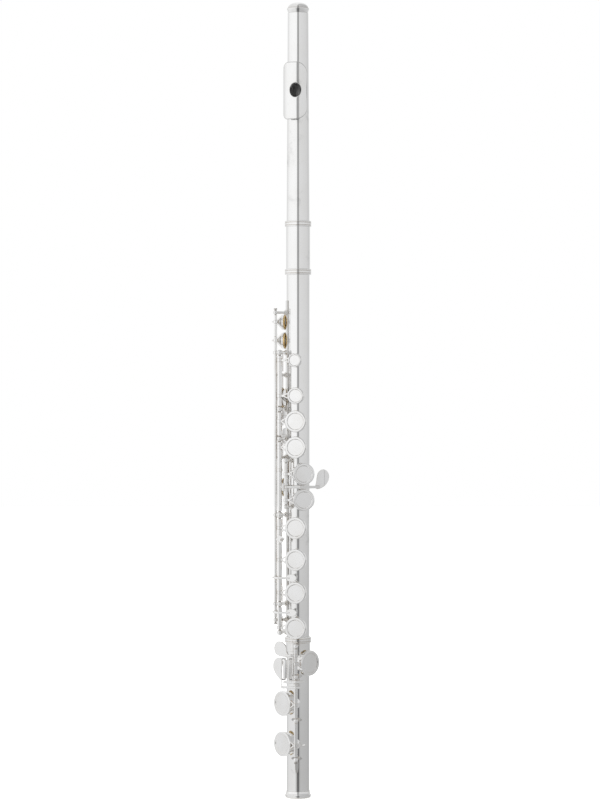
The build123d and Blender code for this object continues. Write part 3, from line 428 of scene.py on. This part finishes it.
def lip_outline(turn):
    """Point (x, height above the plate's middle) of the lip plate's outline in a direction."""
    direction = Vector((math.cos(turn), math.sin(turn)))
    half_x, corner = LIP_SIDES[direction.x > 0]
    low, high = 0.0, half_x + LIP_HALF_Z
    for _ in range(40):
        reach = (low + high) / 2
        x, z = abs(direction.x * reach), abs(direction.y * reach)
        past_x = max(x - half_x + corner, 0) / corner
        past_z = max(z - LIP_HALF_Z + LIP_CORNER_Z, 0) / LIP_CORNER_Z
        if math.hypot(past_x, past_z) > 1:
            high = reach
        else:
            low = reach
    return direction * low


LIP_ROWS = 14
LIP_EDGE = (18, 28)  # stations from the plate's face round its rim


def lip_mesh(name):
    """Curved lip plate with an oval hole and soft edges."""
    shape = bmesh.new()
    most = math.acos((LIP_EDGE_Y - LIP_OFFSET) / LIP_R)
    rays = []
    for step in range(LIP_STEPS):
        outline = lip_outline(2 * math.pi * step / LIP_STEPS)
        turn = max(-most, min(most, math.asin(max(-1, min(1, outline.x / LIP_R)))))
        height = LIP_CENTRE_Z + outline.y
        direction = math.atan2(height - EMBOUCHURE_Z, turn * LIP_R)
        half_x, half_z = EMBOUCHURE_HALF
        reach = 1 / math.hypot(math.cos(direction) / half_x, math.sin(direction) / half_z)
        hole_x, hole_z = reach * math.cos(direction), EMBOUCHURE_Z + reach * math.sin(direction)
        length = math.hypot(turn * LIP_R - hole_x, height - hole_z)
        rays.append((hole_x, hole_z, turn, height, length))

    def ring(share, inset, depth):
        made = []
        for hole_x, hole_z, turn, height, length in rays:
            radius = LIP_R - depth
            t = share + inset / length
            start = math.asin(hole_x / radius)
            now = start + (turn - start) * t
            z = hole_z + (height - hole_z) * t
            place = (radius * math.sin(now), -LIP_OFFSET - radius * math.cos(now), z)
            made.append(shape.verts.new(place))
        return made

    round_over = 0.42 * MM
    crisp = 0.14 * MM
    stations = [(0, 0, LIP_THICK), (0, 0, crisp * 2), (0, crisp * 0.3, crisp * 0.9)]
    stations += [(0, crisp, crisp * 0.3), (0, crisp * 2, 0)]
    stations += [(step / LIP_ROWS, 0, 0) for step in range(1, LIP_ROWS)]
    stations += [(1, -round_over * 1.6, 0)]
    for step in range(9):
        turn = math.pi * step / 8
        depth = LIP_THICK / 2 - LIP_THICK / 2 * math.cos(turn)
        stations.append((1, -round_over + round_over * math.sin(turn), depth))
    stations += [(step / LIP_ROWS, 0, LIP_THICK) for step in range(LIP_ROWS - 1, 0, -1)]
    rings = [ring(*station) for station in stations]
    # Faces round the rim take the second material, a grey that paints shade along the rim.
    for number, (low, high) in enumerate(zip(rings, rings[1:] + rings[:1])):
        made = len(shape.faces)
        bridge(shape, low, high)
        shape.faces.ensure_lookup_table()
        for face in shape.faces[made:]:
            face.material_index = int(LIP_EDGE[0] <= number < LIP_EDGE[1])
    turn = Matrix.Rotation(-math.radians(HEAD_ANGLE), 3, "Z")
    bmesh.ops.rotate(shape, verts=shape.verts, matrix=turn)
    return smooth_mesh(shape, name, 50)


def head_radius(z):
    """Outer radius of the head tube at a height."""
    share = max(0, (z - HEAD_TAPER_START) / (HEAD_HIGH - HEAD_TAPER_START))
    return TUBE_R - SLIDE_FIT - share * (TUBE_R - SLIDE_FIT - HEAD_END_R)


def riser_mesh(name):
    """Oval wall between the head tube and the lip plate."""
    shape = bmesh.new()
    opening = Opening(HEAD_ANGLE, EMBOUCHURE_Z, *EMBOUCHURE_HALF)
    tube = lambda side, z: math.sqrt(head_radius(z) ** 2 - side ** 2)
    plate = lambda side, z: LIP_OFFSET + math.sqrt((LIP_R - LIP_THICK) ** 2 - side ** 2)
    mix = lambda share: lambda side, z: tube(side, z) * (1 - share) + plate(side, z) * share
    stations = [(0, 0), (0, 0.5), (0, 1), (1.0, 1), (0.8, 0.85), (0.72, 0.5), (0.8, 0.15), (1.0, 0)]
    rings = [ring_at(shape, opening, RISER_WALL * grow, mix(share)) for grow, share in stations]
    for low, high in zip(rings, rings[1:] + rings[:1]):
        bridge(shape, low, high)
    return smooth_mesh(shape, name, 60)


# ------------------------------------------------------------------ materials

ALONG = (1, 1, 0.08)
EVEN = (1, 1, 1)
EDGE_R = 0.32 * MM
# Painted shade of the silver: its darkest colours along edges and in recesses, and how far the occlusion
# that darkens recesses reaches.
EDGE_SHADE_GREY = (0.48, 0.48, 0.48)
EDGE_SHADE_BROWN = (0.62, 0.565, 0.505)
RECESS_SHADE_REACH = 2.5 * MM


def new_material(name):
    """Node material, its tree and its Principled shader."""
    material = bpy.data.materials.new(name)
    material.use_nodes = True
    tree = material.node_tree
    return material, tree, tree.nodes["Principled BSDF"]


def noise_of(tree, scale, detail=3, stretch=(1, 1, 1), rough=0.55):
    """Noise texture in object space, stretched along the axes."""
    coords = tree.nodes.new("ShaderNodeTexCoord")
    mapping = tree.nodes.new("ShaderNodeMapping")
    mapping.inputs["Scale"].default_value = stretch
    texture = tree.nodes.new("ShaderNodeTexNoise")
    texture.inputs["Scale"].default_value = scale
    texture.inputs["Detail"].default_value = detail
    texture.inputs["Roughness"].default_value = rough
    tree.links.new(coords.outputs["Object"], mapping.inputs["Vector"])
    tree.links.new(mapping.outputs["Vector"], texture.inputs["Vector"])
    return texture.outputs["Fac"]


def ramp_of(tree, value, stops):
    """Colour ramp from a value."""
    ramp = tree.nodes.new("ShaderNodeValToRGB")
    elements = ramp.color_ramp.elements
    for place, colour in stops[2:]:
        elements.new(place)
    for element, (place, colour) in zip(elements, sorted(stops)):
        element.position = place
        element.color = (*colour, 1)
    tree.links.new(value, ramp.inputs["Fac"])
    return ramp.outputs["Color"]


def spread(tree, value, low, high):
    """Value between 0.3 and 0.7 mapped to a new range."""
    node = tree.nodes.new("ShaderNodeMapRange")
    node.inputs["From Min"].default_value = 0.3
    node.inputs["From Max"].default_value = 0.7
    node.inputs["To Min"].default_value = low
    node.inputs["To Max"].default_value = high
    tree.links.new(value, node.inputs["Value"])
    return node.outputs["Result"]


def bump_of(tree, height, distance, strength, after=None):
    """Bump from a height, on top of another bump."""
    node = tree.nodes.new("ShaderNodeBump")
    node.inputs["Distance"].default_value = distance
    node.inputs["Strength"].default_value = strength
    tree.links.new(height, node.inputs["Height"])
    if after is not None:
        tree.links.new(after, node.inputs["Normal"])
    return node.outputs["Normal"]


def product(tree, first, second):
    """Product of two values."""
    node = tree.nodes.new("ShaderNodeMath")
    node.operation = "MULTIPLY"
    tree.links.new(first, node.inputs[0])
    tree.links.new(second, node.inputs[1])
    return node.outputs["Value"]


def soft_edges(tree):
    """Normal that is rounded over where faces meet, and how far it leans there."""
    node = tree.nodes.new("ShaderNodeBevel")
    node.samples = 6
    node.inputs["Radius"].default_value = EDGE_R
    surface = tree.nodes.new("ShaderNodeNewGeometry")
    lean = tree.nodes.new("ShaderNodeVectorMath")
    lean.operation = "DOT_PRODUCT"
    tree.links.new(node.outputs["Normal"], lean.inputs[0])
    tree.links.new(surface.outputs["Normal"], lean.inputs[1])
    return node.outputs["Normal"], lean.outputs["Value"]


def silver(name, bright, tarnish, rough, streak, haze, dark=EDGE_SHADE_BROWN):
    """Polished silver plate: tarnish in clouds, painted shade in recesses and along edges (dark edge
    lines standing in for reflections), uneven gloss, polishing marks.
    """
    material, tree, shader = new_material(name)
    shader.inputs["Metallic"].default_value = 1
    clouds = noise_of(tree, 60, 4)
    rounded, lean = soft_edges(tree)
    # Painted shade: occlusion darkens the colour in recesses and beside other parts, and the bevel lean
    # darkens it along edges as painted dark lines in place of reflections; only the clouds are real
    # tarnish.
    recess_occlusion = tree.nodes.new("ShaderNodeAmbientOcclusion")
    recess_occlusion.samples = 8
    recess_occlusion.inputs["Distance"].default_value = RECESS_SHADE_REACH
    edges = ramp_of(tree, lean, [(0.93, (0, 0, 0)), (0.998, (1, 1, 1))])
    recess_shade = ramp_of(tree, recess_occlusion.outputs["AO"], [(0.2, (0, 0, 0)), (0.85, (1, 1, 1))])
    tarnish_and_shade_mask = product(tree, product(tree, clouds, edges), recess_shade)
    # The darkest stop is the colour of the painted shade.
    stops = [(0.0, dark), (0.36, tarnish), (0.62, bright)]
    tree.links.new(ramp_of(tree, tarnish_and_shade_mask, stops), shader.inputs["Base Color"])
    wipes = noise_of(tree, 220, 5, streak)
    tree.links.new(spread(tree, wipes, *rough), shader.inputs["Roughness"])
    marks = noise_of(tree, 1400, 2, streak, 0.6)
    dents = noise_of(tree, 26, 2, (1, 1, 0.35))
    waves = bump_of(tree, dents, 0.00012, haze, rounded)
    tree.links.new(bump_of(tree, marks, 0.000004, 0.15, waves), shader.inputs["Normal"])
    return material


def edge_material():
    """Rim of the lip plate in a darker grey: painted shade along the rim, its grey and gloss varied by
    noise.
    """
    material, tree, shader = new_material("lip_edge_shaded_grey")
    shader.inputs["Metallic"].default_value = 1
    brush = noise_of(tree, 300, 4)
    # Greys that stand in for shade on the rim.
    stops = [(0.35, (0.58, 0.58, 0.575)), (0.65, (0.70, 0.70, 0.695))]
    tree.links.new(ramp_of(tree, brush, stops), shader.inputs["Base Color"])
    tree.links.new(spread(tree, brush, 0.22, 0.34), shader.inputs["Roughness"])
    return material


def bore_material():
    """Inside of a tube: a darker, duller grey than the polished outside, half metallic."""
    material, tree, shader = new_material("bore_dull")
    shader.inputs["Metallic"].default_value = 0.5
    bore_streaks = noise_of(tree, 130, 4, ALONG)
    stops = [(0.35, (0.50, 0.50, 0.50)), (0.65, (0.64, 0.64, 0.635))]
    tree.links.new(ramp_of(tree, bore_streaks, stops), shader.inputs["Base Color"])
    tree.links.new(spread(tree, bore_streaks, 0.3, 0.42), shader.inputs["Roughness"])
    return material


def skin_material():
    """Thin amber skin over felt, with fine creases."""
    material, tree, shader = new_material("pad_skin_amber")
    patches = noise_of(tree, 320, 5)
    stops = [(0.30, (0.40, 0.25, 0.09)), (0.5, (0.66, 0.46, 0.19)), (0.7, (0.80, 0.62, 0.32))]
    tree.links.new(ramp_of(tree, patches, stops), shader.inputs["Base Color"])
    tree.links.new(spread(tree, noise_of(tree, 900, 3), 0.32, 0.55), shader.inputs["Roughness"])
    shader.inputs["Subsurface Weight"].default_value = 0.12
    shader.inputs["Subsurface Radius"].default_value = (0.0008, 0.0005, 0.0002)
    shader.inputs["Coat Weight"].default_value = 0.25
    shader.inputs["Coat Roughness"].default_value = 0.3
    creases = noise_of(tree, 1500, 4)
    tree.links.new(bump_of(tree, creases, 0.00008, 0.6), shader.inputs["Normal"])
    return material


def steel_material(name, dark, light, rough):
    """Drawn steel with faint brown oxide."""
    material, tree, shader = new_material(name)
    shader.inputs["Metallic"].default_value = 1
    oxide = ramp_of(tree, noise_of(tree, 400, 4), [(0.35, dark), (0.65, light)])
    tree.links.new(oxide, shader.inputs["Base Color"])
    drawn = noise_of(tree, 1800, 3, (1, 1, 0.06))
    tree.links.new(spread(tree, drawn, *rough), shader.inputs["Roughness"])
    tree.links.new(bump_of(tree, drawn, 0.000008, 0.4), shader.inputs["Normal"])
    return material


def cork_material():
    """Cork with dark pores."""
    material, tree, shader = new_material("cork_grain")
    stops = [(0.30, (0.09, 0.04, 0.018)), (0.42, (0.36, 0.2, 0.09)), (0.7, (0.55, 0.35, 0.18))]
    grain = noise_of(tree, 900, 6, rough=0.7)
    tree.links.new(ramp_of(tree, grain, stops), shader.inputs["Base Color"])
    tree.links.new(spread(tree, grain, 0.95, 0.8), shader.inputs["Roughness"])
    tree.links.new(bump_of(tree, grain, 0.0002, 0.7), shader.inputs["Normal"])
    return material


BRIGHT = (0.94, 0.94, 0.94)
BORE_FINISH = bore_material()
LIP_EDGE_SHADE = edge_material()
FITTINGS_DULL = (0.87, 0.865, 0.85)
KEYS_DULL = (0.90, 0.895, 0.885)
ROLLERS_DULL = (0.88, 0.875, 0.86)
TUBE_DULL = (0.92, 0.918, 0.912)
LIP_DULL = (0.91, 0.905, 0.895)
BLUED = ((0.16, 0.11, 0.08), (0.42, 0.33, 0.25))
DRAWN = ((0.45, 0.43, 0.41), (0.68, 0.66, 0.63))
# Every silver finish below carries painted shade along edges and in recesses; the clouds in it are real
# tarnish.
FINISH = {
    "silver_tube": silver("silver_tube_polish", BRIGHT, TUBE_DULL, (0.05, 0.08), ALONG, 0.06, EDGE_SHADE_GREY),
    "silver_lip": silver("silver_lip_wear_and_shade", BRIGHT, LIP_DULL, (0.07, 0.13), EVEN, 0.1, EDGE_SHADE_GREY),
    "silver_fittings": silver("silver_fittings_polish", BRIGHT, FITTINGS_DULL, (0.06, 0.11), EVEN, 0.1),
    "silver_keys": silver("silver_keys_handled_and_shaded", BRIGHT, KEYS_DULL, (0.06, 0.12), EVEN, 0.12),
    "silver_rollers": silver("silver_rollers_worn_and_shaded", BRIGHT, ROLLERS_DULL, (0.10, 0.18), EVEN, 0.1),
    "pad_skin": skin_material(),
    "spring_steel": steel_material("spring_steel_blued", *BLUED, (0.2, 0.35)),
    "steel": steel_material("steel_drawn", *DRAWN, (0.14, 0.28)),
    "cork": cork_material(),
}


# ------------------------------------------------------------------ the tubes and their turned fittings

tube_silver = FINISH["silver_tube"]
fittings = FINISH["silver_fittings"]


def tone_holes(holes):
    """Openings with their rims, in metres."""
    return [
        (Opening(hole.angle, hole.z * MM, hole.radius * MM, hole.radius * MM), hole.rim * MM)
        for hole in holes
    ]


def straight(z):
    """Outer radius of the body and foot tubes, the same at every height."""
    return TUBE_R


embouchure = [(Opening(HEAD_ANGLE, EMBOUCHURE_Z, *EMBOUCHURE_HALF), 0)]
for node, body, radius_at, low, high, holes, chimneys in (
    ("body_tube", "body_joint", straight, BODY_LOW, BODY_HIGH, tone_holes(BODY_HOLES), True),
    ("foot_tube", "foot_joint", straight, 0, FOOT_TOP, tone_holes(FOOT_HOLES), True),
    ("head_tube", "head_joint", head_radius, HEAD_LOW, HEAD_HIGH, embouchure, False),
):
    name = f"{node}_drawn"
    drawn = pierced_tube(name, radius_at, TUBE_WALL, low, high, holes, chimneys)
    add_piece(name, drawn, body, tube_silver, [node], BORE_FINISH)

barrel_mesh = turned_mesh("barrel_sleeve", [
    (TUBE_R, BARREL_LOW),
    (BARREL_R, BARREL_LOW),
    (BARREL_R, BARREL_HIGH),
    (TUBE_R, BARREL_HIGH),
])
add_piece("barrel_sleeve", barrel_mesh, "body_joint", tube_silver, ["barrel"])

for name, low in (("barrel_ring_low", BARREL_LOW), ("barrel_ring_high", BARREL_HIGH - BARREL_RING_H)):
    ring_mesh = turned_mesh(name, ring_profile(BARREL_R, RING_R, low, BARREL_RING_H))
    add_piece(name, ring_mesh, "body_joint", fittings, ["barrel_rings"])

ring_low = RECEIVER_HIGH - RECEIVER_RING_H
receiver = [
    (TUBE_R + SLIDE_FIT, RECEIVER_HIGH),
    (TUBE_R + SLIDE_FIT, FOOT_TOP),
    (TUBE_R, FOOT_TOP),
    (TUBE_R, RECEIVER_LOW),
    (RECEIVER_R, RECEIVER_LOW),
    (RECEIVER_R, ring_low),
]
ring_outline = ring_profile(RECEIVER_R, RING_R, ring_low, RECEIVER_RING_H)
receiver += ring_outline[2:]  # its two inner points lie inside the sleeve
receiver_mesh = turned_mesh("foot_receiver_ring", receiver)
add_piece("foot_receiver_ring", receiver_mesh, "foot_joint", fittings, ["foot_receiver"])

flare_top = (TUBE_R + 0.25 * MM, END_RING_H)
flare_pull = (TUBE_R + 0.35 * MM, 3.4 * MM)
end_ring = [(TUBE_R, END_RING_H), (TUBE_R, 0)]
end_ring += curved((END_RING_R - 0.7 * MM, 0), (END_RING_R, 1.3 * MM), (END_RING_R, 0), 6)
end_ring += curved((END_RING_R, 2.2 * MM), flare_top, flare_pull, 10)
end_mesh = turned_mesh("foot_end_bead", end_ring)
add_piece("foot_end_bead", end_mesh, "foot_joint", fittings, ["foot_end_ring"])

plug_r = HEAD_END_R - TUBE_WALL - 0.1 * MM
crown_low = HEAD_HIGH + CROWN_GAP
crown_high = crown_low + CROWN_RING_H
crown_edge = curved(
    (CROWN_R, crown_high - 0.5 * MM),
    (CROWN_R - 0.45 * DOME_INSET, crown_high),
    (CROWN_R, crown_high),
    4,
)
dome_r = CROWN_R - DOME_INSET
dome_low = crown_high + 0.25 * MM
groove_r = dome_r - 0.45 * MM
crown_profile = [(0, CROWN_LOW), (plug_r, CROWN_LOW), (plug_r, crown_low)]
crown_profile += crown_edge + [(groove_r, crown_high), (groove_r, dome_low)]
for step in range(DOME_STEPS):
    turn = math.pi / 2 * step / DOME_STEPS
    height = dome_low + (CROWN_HIGH - dome_low) * math.sin(turn)
    crown_profile.append((dome_r * math.cos(turn), height))
crown_profile.append((0, CROWN_HIGH))
crown_mesh = turned_mesh("crown_turned", crown_profile)
add_piece("crown_turned", crown_mesh, "crown", fittings, ["crown"])

lip_silver = FINISH["silver_lip"]
lip_plate = lip_mesh("lip_plate_formed")
add_piece(
    "lip_plate_formed", lip_plate, "head_joint", lip_silver, ["lip_plate"], LIP_EDGE_SHADE
)
add_piece("riser_wall", riser_mesh("riser_wall"), "head_joint", lip_silver, ["riser"])


# ------------------------------------------------------------------ pads

def pad_seats(node):
    """Centre, outward axis, radius and half thickness of each flat round pad in a CAD node."""
    mesh = nodes[node].data
    points = np.array([vert.co for vert in mesh.vertices])
    middles = np.array([face.center for face in mesh.polygons])
    normals = np.array([face.normal for face in mesh.polygons])
    areas = np.array([face.area for face in mesh.polygons])
    heights = np.sort(points[:, 2])
    gaps = np.diff(heights)
    split = heights[gaps.argmax()] + gaps.max() / 2 if gaps.max() > 1.5 * MM else heights[0] - 1
    seats = []
    for side in (points[:, 2] < split, points[:, 2] >= split):
        if not side.any():
            continue
        mine = (middles[:, 2] < split) == (points[side][0, 2] < split)
        spread_of = (normals[mine].T * areas[mine]) @ normals[mine]
        axis = Vector(np.linalg.eigh(spread_of)[1][:, 2])
        own = points[side]
        middle = Vector((own.max(0) + own.min(0)) / 2)
        if axis.x * middle.x + axis.y * middle.y < 0:
            axis = -axis
        along = own @ np.array(axis)
        across = np.array(axis.cross(Vector((0, 0, 1))).normalized())
        width = np.ptp(own @ across)
        upright = np.array(Vector(across).cross(axis))
        centre = axis * float((along.max() + along.min()) / 2)
        centre += Vector(across) * float(((own @ across).max() + (own @ across).min()) / 2)
        centre += Vector(upright) * float(((own @ upright).max() + (own @ upright).min()) / 2)
        seats.append((centre, axis, width / 2, float(np.ptp(along)) / 2))
    return seats


SEAT_WIDTH = 0.35 * MM
SEAT_DEPTH = 0.10 * MM
CREASE_SAG = 0.05 * MM
CREASE_PULL = 0.006


def pad_mesh(name, centre, axis, radius, half, seed):
    """Felt disc in a skin: rolled edge, gathered creases and the seat's faint ring."""
    shape = bmesh.new()
    steps = 96
    seat = radius * 0.87
    roll = half * 0.5
    face = -half * 0.9
    outline = [(radius * share, -half) for share in (0.25, 0.5, 0.7, 0.8, 0.84, 0.87, 0.9, 0.93)]
    outline += curved((radius * 0.945, -half), (radius, -half + roll), (radius, -half), 6)[1:]
    outline += [(radius, 0), (radius, half * 0.6), (radius * 0.99, half)]
    rings = [[shape.verts.new((0, 0, -half))]]
    for reach, height in outline:
        ring = []
        for step in range(steps):
            turn = 2 * math.pi * step / steps
            crease = noise.noise(Vector((math.cos(turn) * 9, math.sin(turn) * 9, seed)))
            press = math.exp(-((reach - seat) / SEAT_WIDTH) ** 2) * SEAT_DEPTH if height < face else 0
            sag = CREASE_SAG * crease * (reach / radius) ** 4
            pull = 1 - CREASE_PULL * abs(crease) * (height > face)
            x, y = reach * pull * math.cos(turn), reach * pull * math.sin(turn)
            ring.append(shape.verts.new((x, y, height + press + max(sag, 0))))
        rings.append(ring)
    rings.append([shape.verts.new((0, 0, half))])
    for low, high in zip(rings, rings[1:]):
        bridge(shape, low, high)
    turn = axis.to_track_quat("Z", "Y").to_matrix()
    bmesh.ops.rotate(shape, verts=shape.verts, matrix=turn)
    bmesh.ops.translate(shape, verts=shape.verts, vec=centre)
    return smooth_mesh(shape, name, 60)


bodies = frame["record"]["behaviour"]["bodies"]
body_of_node = {node: body for body, members in bodies.items() for node in members}
for node in sorted(nodes):
    if not node.endswith(("_pad", "_pads")):
        continue
    for number, (centre, axis, radius, half) in enumerate(pad_seats(node)):
        name = f"{node}_felt_{number}"
        mesh = pad_mesh(name, centre, axis, radius, half, len(node) + number * 3.7)
        pad = add_piece(name, mesh, body_of_node[node], FINISH["pad_skin"], [node])


# ------------------------------------------------------------------ stop bar of the low C key

def bar_mesh(name, start, end, radius):
    """Round bar between two points, thicker at its root and domed at both ends."""
    shape = bmesh.new()
    length = (end - start).length
    rings = [[shape.verts.new((0, 0, -radius))]]
    for step in range(1, BAR_ROWS):
        share = step / BAR_ROWS
        reach = length * share
        dome = min(1, math.sin(math.pi * share) * 6) ** 0.5
        girth = radius * (1.15 - 0.3 * share) * dome
        ring = []
        for side in range(BAR_SIDES):
            turn = 2 * math.pi * side / BAR_SIDES
            ring.append(shape.verts.new((girth * math.cos(turn), girth * math.sin(turn), reach)))
        rings.append(ring)
    rings.append([shape.verts.new((0, 0, length))])
    for low, high in zip(rings, rings[1:]):
        bridge(shape, low, high)
    turn = (end - start).to_track_quat("Z", "Y").to_matrix()
    bmesh.ops.rotate(shape, verts=shape.verts, matrix=turn)
    bmesh.ops.translate(shape, verts=shape.verts, vec=start)
    return smooth_mesh(shape, name, 60)


bar = bar_mesh("low_c_stop_bar", Vector(BAR_ROOT), Vector(BAR_TIP), BAR_R)
add_piece("low_c_stop_bar", bar, body_of_node["low_c_key"], FINISH["silver_keys"])


# ------------------------------------------------------------------ finish of the CAD nodes that stay

for piece in nodes.values():
    kind = piece.data.materials[0].name.split(".")[0]
    for material_slot in piece.material_slots:
        material_slot.material = FINISH[kind]


# ------------------------------------------------------------------ studio

def studio_world():
    """Soft box all round with a dark gap behind the camera, seen only in the metal."""
    world = bpy.data.worlds.new("studio")
    bpy.context.scene.world = world
    world.use_nodes = True
    tree = world.node_tree
    tree.nodes.clear()
    coords = tree.nodes.new("ShaderNodeTexCoord")
    axes = tree.nodes.new("ShaderNodeSeparateXYZ")
    turn = tree.nodes.new("ShaderNodeMapping")
    turn.inputs["Rotation"].default_value = (0, 0, -math.radians(VIEW_TURN))
    tree.links.new(coords.outputs["Generated"], turn.inputs["Vector"])
    tree.links.new(turn.outputs["Vector"], axes.inputs["Vector"])

    def maths(operation, first, second=None):
        node = tree.nodes.new("ShaderNodeMath")
        node.operation = operation
        for socket, value in zip(node.inputs, (first, second)):
            if isinstance(value, (int, float)):
                socket.default_value = value
            elif value is not None:
                tree.links.new(value, socket)
        return node.outputs[0]

    towards = maths("MULTIPLY", axes.outputs["Y"], -1)
    azimuth = maths("ARCTAN2", axes.outputs["X"], towards)
    share = maths("MULTIPLY_ADD", azimuth, 1 / (2 * math.pi))
    share.node.inputs[2].default_value = 0.5
    grey = lambda stops: [(angle / 360 + 0.5, (value, value, value)) for angle, value in stops]
    level = ramp_of(tree, share, grey(WALLS_LEVEL))
    below = ramp_of(tree, share, grey(WALLS_BELOW))
    height = maths("MULTIPLY_ADD", axes.outputs["Z"], 0.5)
    height.node.inputs[2].default_value = 0.5
    weight = ramp_of(tree, height, [(z / 2 + 0.5, (w, w, w)) for z, w in BELOW_WEIGHT])
    walls = tree.nodes.new("ShaderNodeMix")
    walls.data_type = "RGBA"
    tree.links.new(weight, walls.inputs["Factor"])
    tree.links.new(level, walls.inputs["A"])
    tree.links.new(below, walls.inputs["B"])
    ends = ramp_of(tree, share, grey(WALLS_OPEN))
    beyond = ramp_of(tree, height, [(z / 2 + 0.5, (w, w, w)) for z, w in ENDS_WEIGHT])
    whole = tree.nodes.new("ShaderNodeMix")
    whole.data_type = "RGBA"
    tree.links.new(beyond, whole.inputs["Factor"])
    tree.links.new(walls.outputs["Result"], whole.inputs["A"])
    tree.links.new(ends, whole.inputs["B"])
    room = tree.nodes.new("ShaderNodeBackground")
    tree.links.new(whole.outputs["Result"], room.inputs["Color"])
    plain = tree.nodes.new("ShaderNodeBackground")
    plain.inputs["Color"].default_value = (1, 1, 1, 1)
    paths = tree.nodes.new("ShaderNodeLightPath")
    choose = tree.nodes.new("ShaderNodeMixShader")
    tree.links.new(paths.outputs["Is Camera Ray"], choose.inputs["Fac"])
    tree.links.new(room.outputs[0], choose.inputs[1])
    tree.links.new(plain.outputs[0], choose.inputs[2])
    out = tree.nodes.new("ShaderNodeOutputWorld")
    tree.links.new(choose.outputs[0], out.inputs["Surface"])


# Each wall is a list of (degrees round from the camera's side, positive towards +X; grey). Each weight is
# a list of (height of the direction, from -1 straight down to 1 straight up; share of that wall).
VIEW_TURN = 6.0
VIEW_HEIGHT = 0.340
VIEW_DISTANCE = 2.2
VIEW_ASIDE = 1.67 * MM
LENS = 115.5
WALLS_LEVEL = [
    (-180, 1.0), (-160, 0.86), (-138, 0.76), (-114, 0.89), (-95, 0.97), (-50, 1.0), (-12, 0.97),
    (-7.5, 0.42), (0, 0.31), (7.5, 0.38), (12, 0.74), (90, 0.686), (106, 0.656), (127, 0.594),
    (160, 0.8), (180, 1.0),
]
WALLS_BELOW = [
    (-180, 1.0), (-138, 0.64), (-100, 0.76), (-30, 0.80), (-16, 0.5), (-8, 0.16), (0, 0.10),
    (8, 0.16), (15, 0.42), (25, 0.50), (90, 0.48), (127, 0.44), (180, 0.95),
]
BELOW_WEIGHT = [(-1.0, 0.0), (-0.5, 0.15), (-0.2, 0.9), (-0.13, 1.0), (0.0, 0.0), (1.0, 0.0)]
WALLS_OPEN = [
    (-180, 0.95), (-100, 0.82), (-30, 0.84), (-12, 0.80), (-6, 0.36),
    (6, 0.36), (12, 0.58), (60, 0.52), (120, 0.50), (180, 0.95),
]
FLOOR_R = 6
FLOOR_GAP = 0.5 * MM
ENDS_WEIGHT = [(-1.0, 1.0), (-0.42, 1.0), (-0.26, 0.0), (0.24, 0.0), (0.36, 1.0), (1.0, 1.0)]
studio_world()

floor_shape = bmesh.new()
bmesh.ops.create_circle(floor_shape, cap_ends=True, radius=FLOOR_R, segments=64)
floor_mesh = bpy.data.meshes.new("floor")
floor_shape.to_mesh(floor_mesh)
floor_shape.free()
floor = bpy.data.objects.new("floor", floor_mesh)
bpy.context.scene.collection.objects.link(floor)
floor.location.z = cad_low.z - FLOOR_GAP
floor.visible_glossy = False
floor_material, floor_tree, floor_shader = new_material("floor_pale")
paper_stops = [(0.3, (0.93, 0.93, 0.93)), (0.7, (0.96, 0.96, 0.96))]
paper = ramp_of(floor_tree, noise_of(floor_tree, 3, 2), paper_stops)
floor_tree.links.new(paper, floor_shader.inputs["Base Color"])
floor_shader.inputs["Roughness"].default_value = 0.9
floor_shader.inputs["Emission Color"].default_value = (1, 1, 1, 1)
floor_shader.inputs["Emission Strength"].default_value = 0.6
floor_mesh.materials.append(floor_material)
floor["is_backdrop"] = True

right = Vector((math.cos(math.radians(VIEW_TURN)), math.sin(math.radians(VIEW_TURN)), 0))
towards = Vector((right.y, -right.x, 0))
for name, direction, height, size, power in (
    ("soft_left", towards * 1.2 - right * 1.6, 1.2, 1.4, 14),
    ("soft_right", towards * 1.0 + right * 1.8, 0.7, 1.2, 5),
    ("soft_top", towards * 0.3, 2.2, 1.6, 14),
):
    lamp = bpy.data.lights.new(name, "AREA")
    lamp.size = size
    lamp.energy = power
    light = bpy.data.objects.new(name, lamp)
    bpy.context.scene.collection.objects.link(light)
    light.location = direction + Vector((0, 0, height))
    aim = Vector((0, 0, VIEW_HEIGHT)) - light.location
    light.rotation_euler = aim.to_track_quat("-Z", "Y").to_euler()
    light.visible_glossy = False

camera_data = bpy.data.cameras.new("camera")
camera_data.lens = LENS
camera_data.clip_start = 0.1
camera_data.clip_end = 20
camera = bpy.data.objects.new("camera", camera_data)
bpy.context.scene.collection.objects.link(camera)
camera.location = towards * VIEW_DISTANCE + right * VIEW_ASIDE + Vector((0, 0, VIEW_HEIGHT))
camera.rotation_euler = (math.radians(90), 0, math.radians(VIEW_TURN))
bpy.context.scene.camera = camera
bpy.context.scene.view_settings.view_transform = "Standard"

low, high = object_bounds()
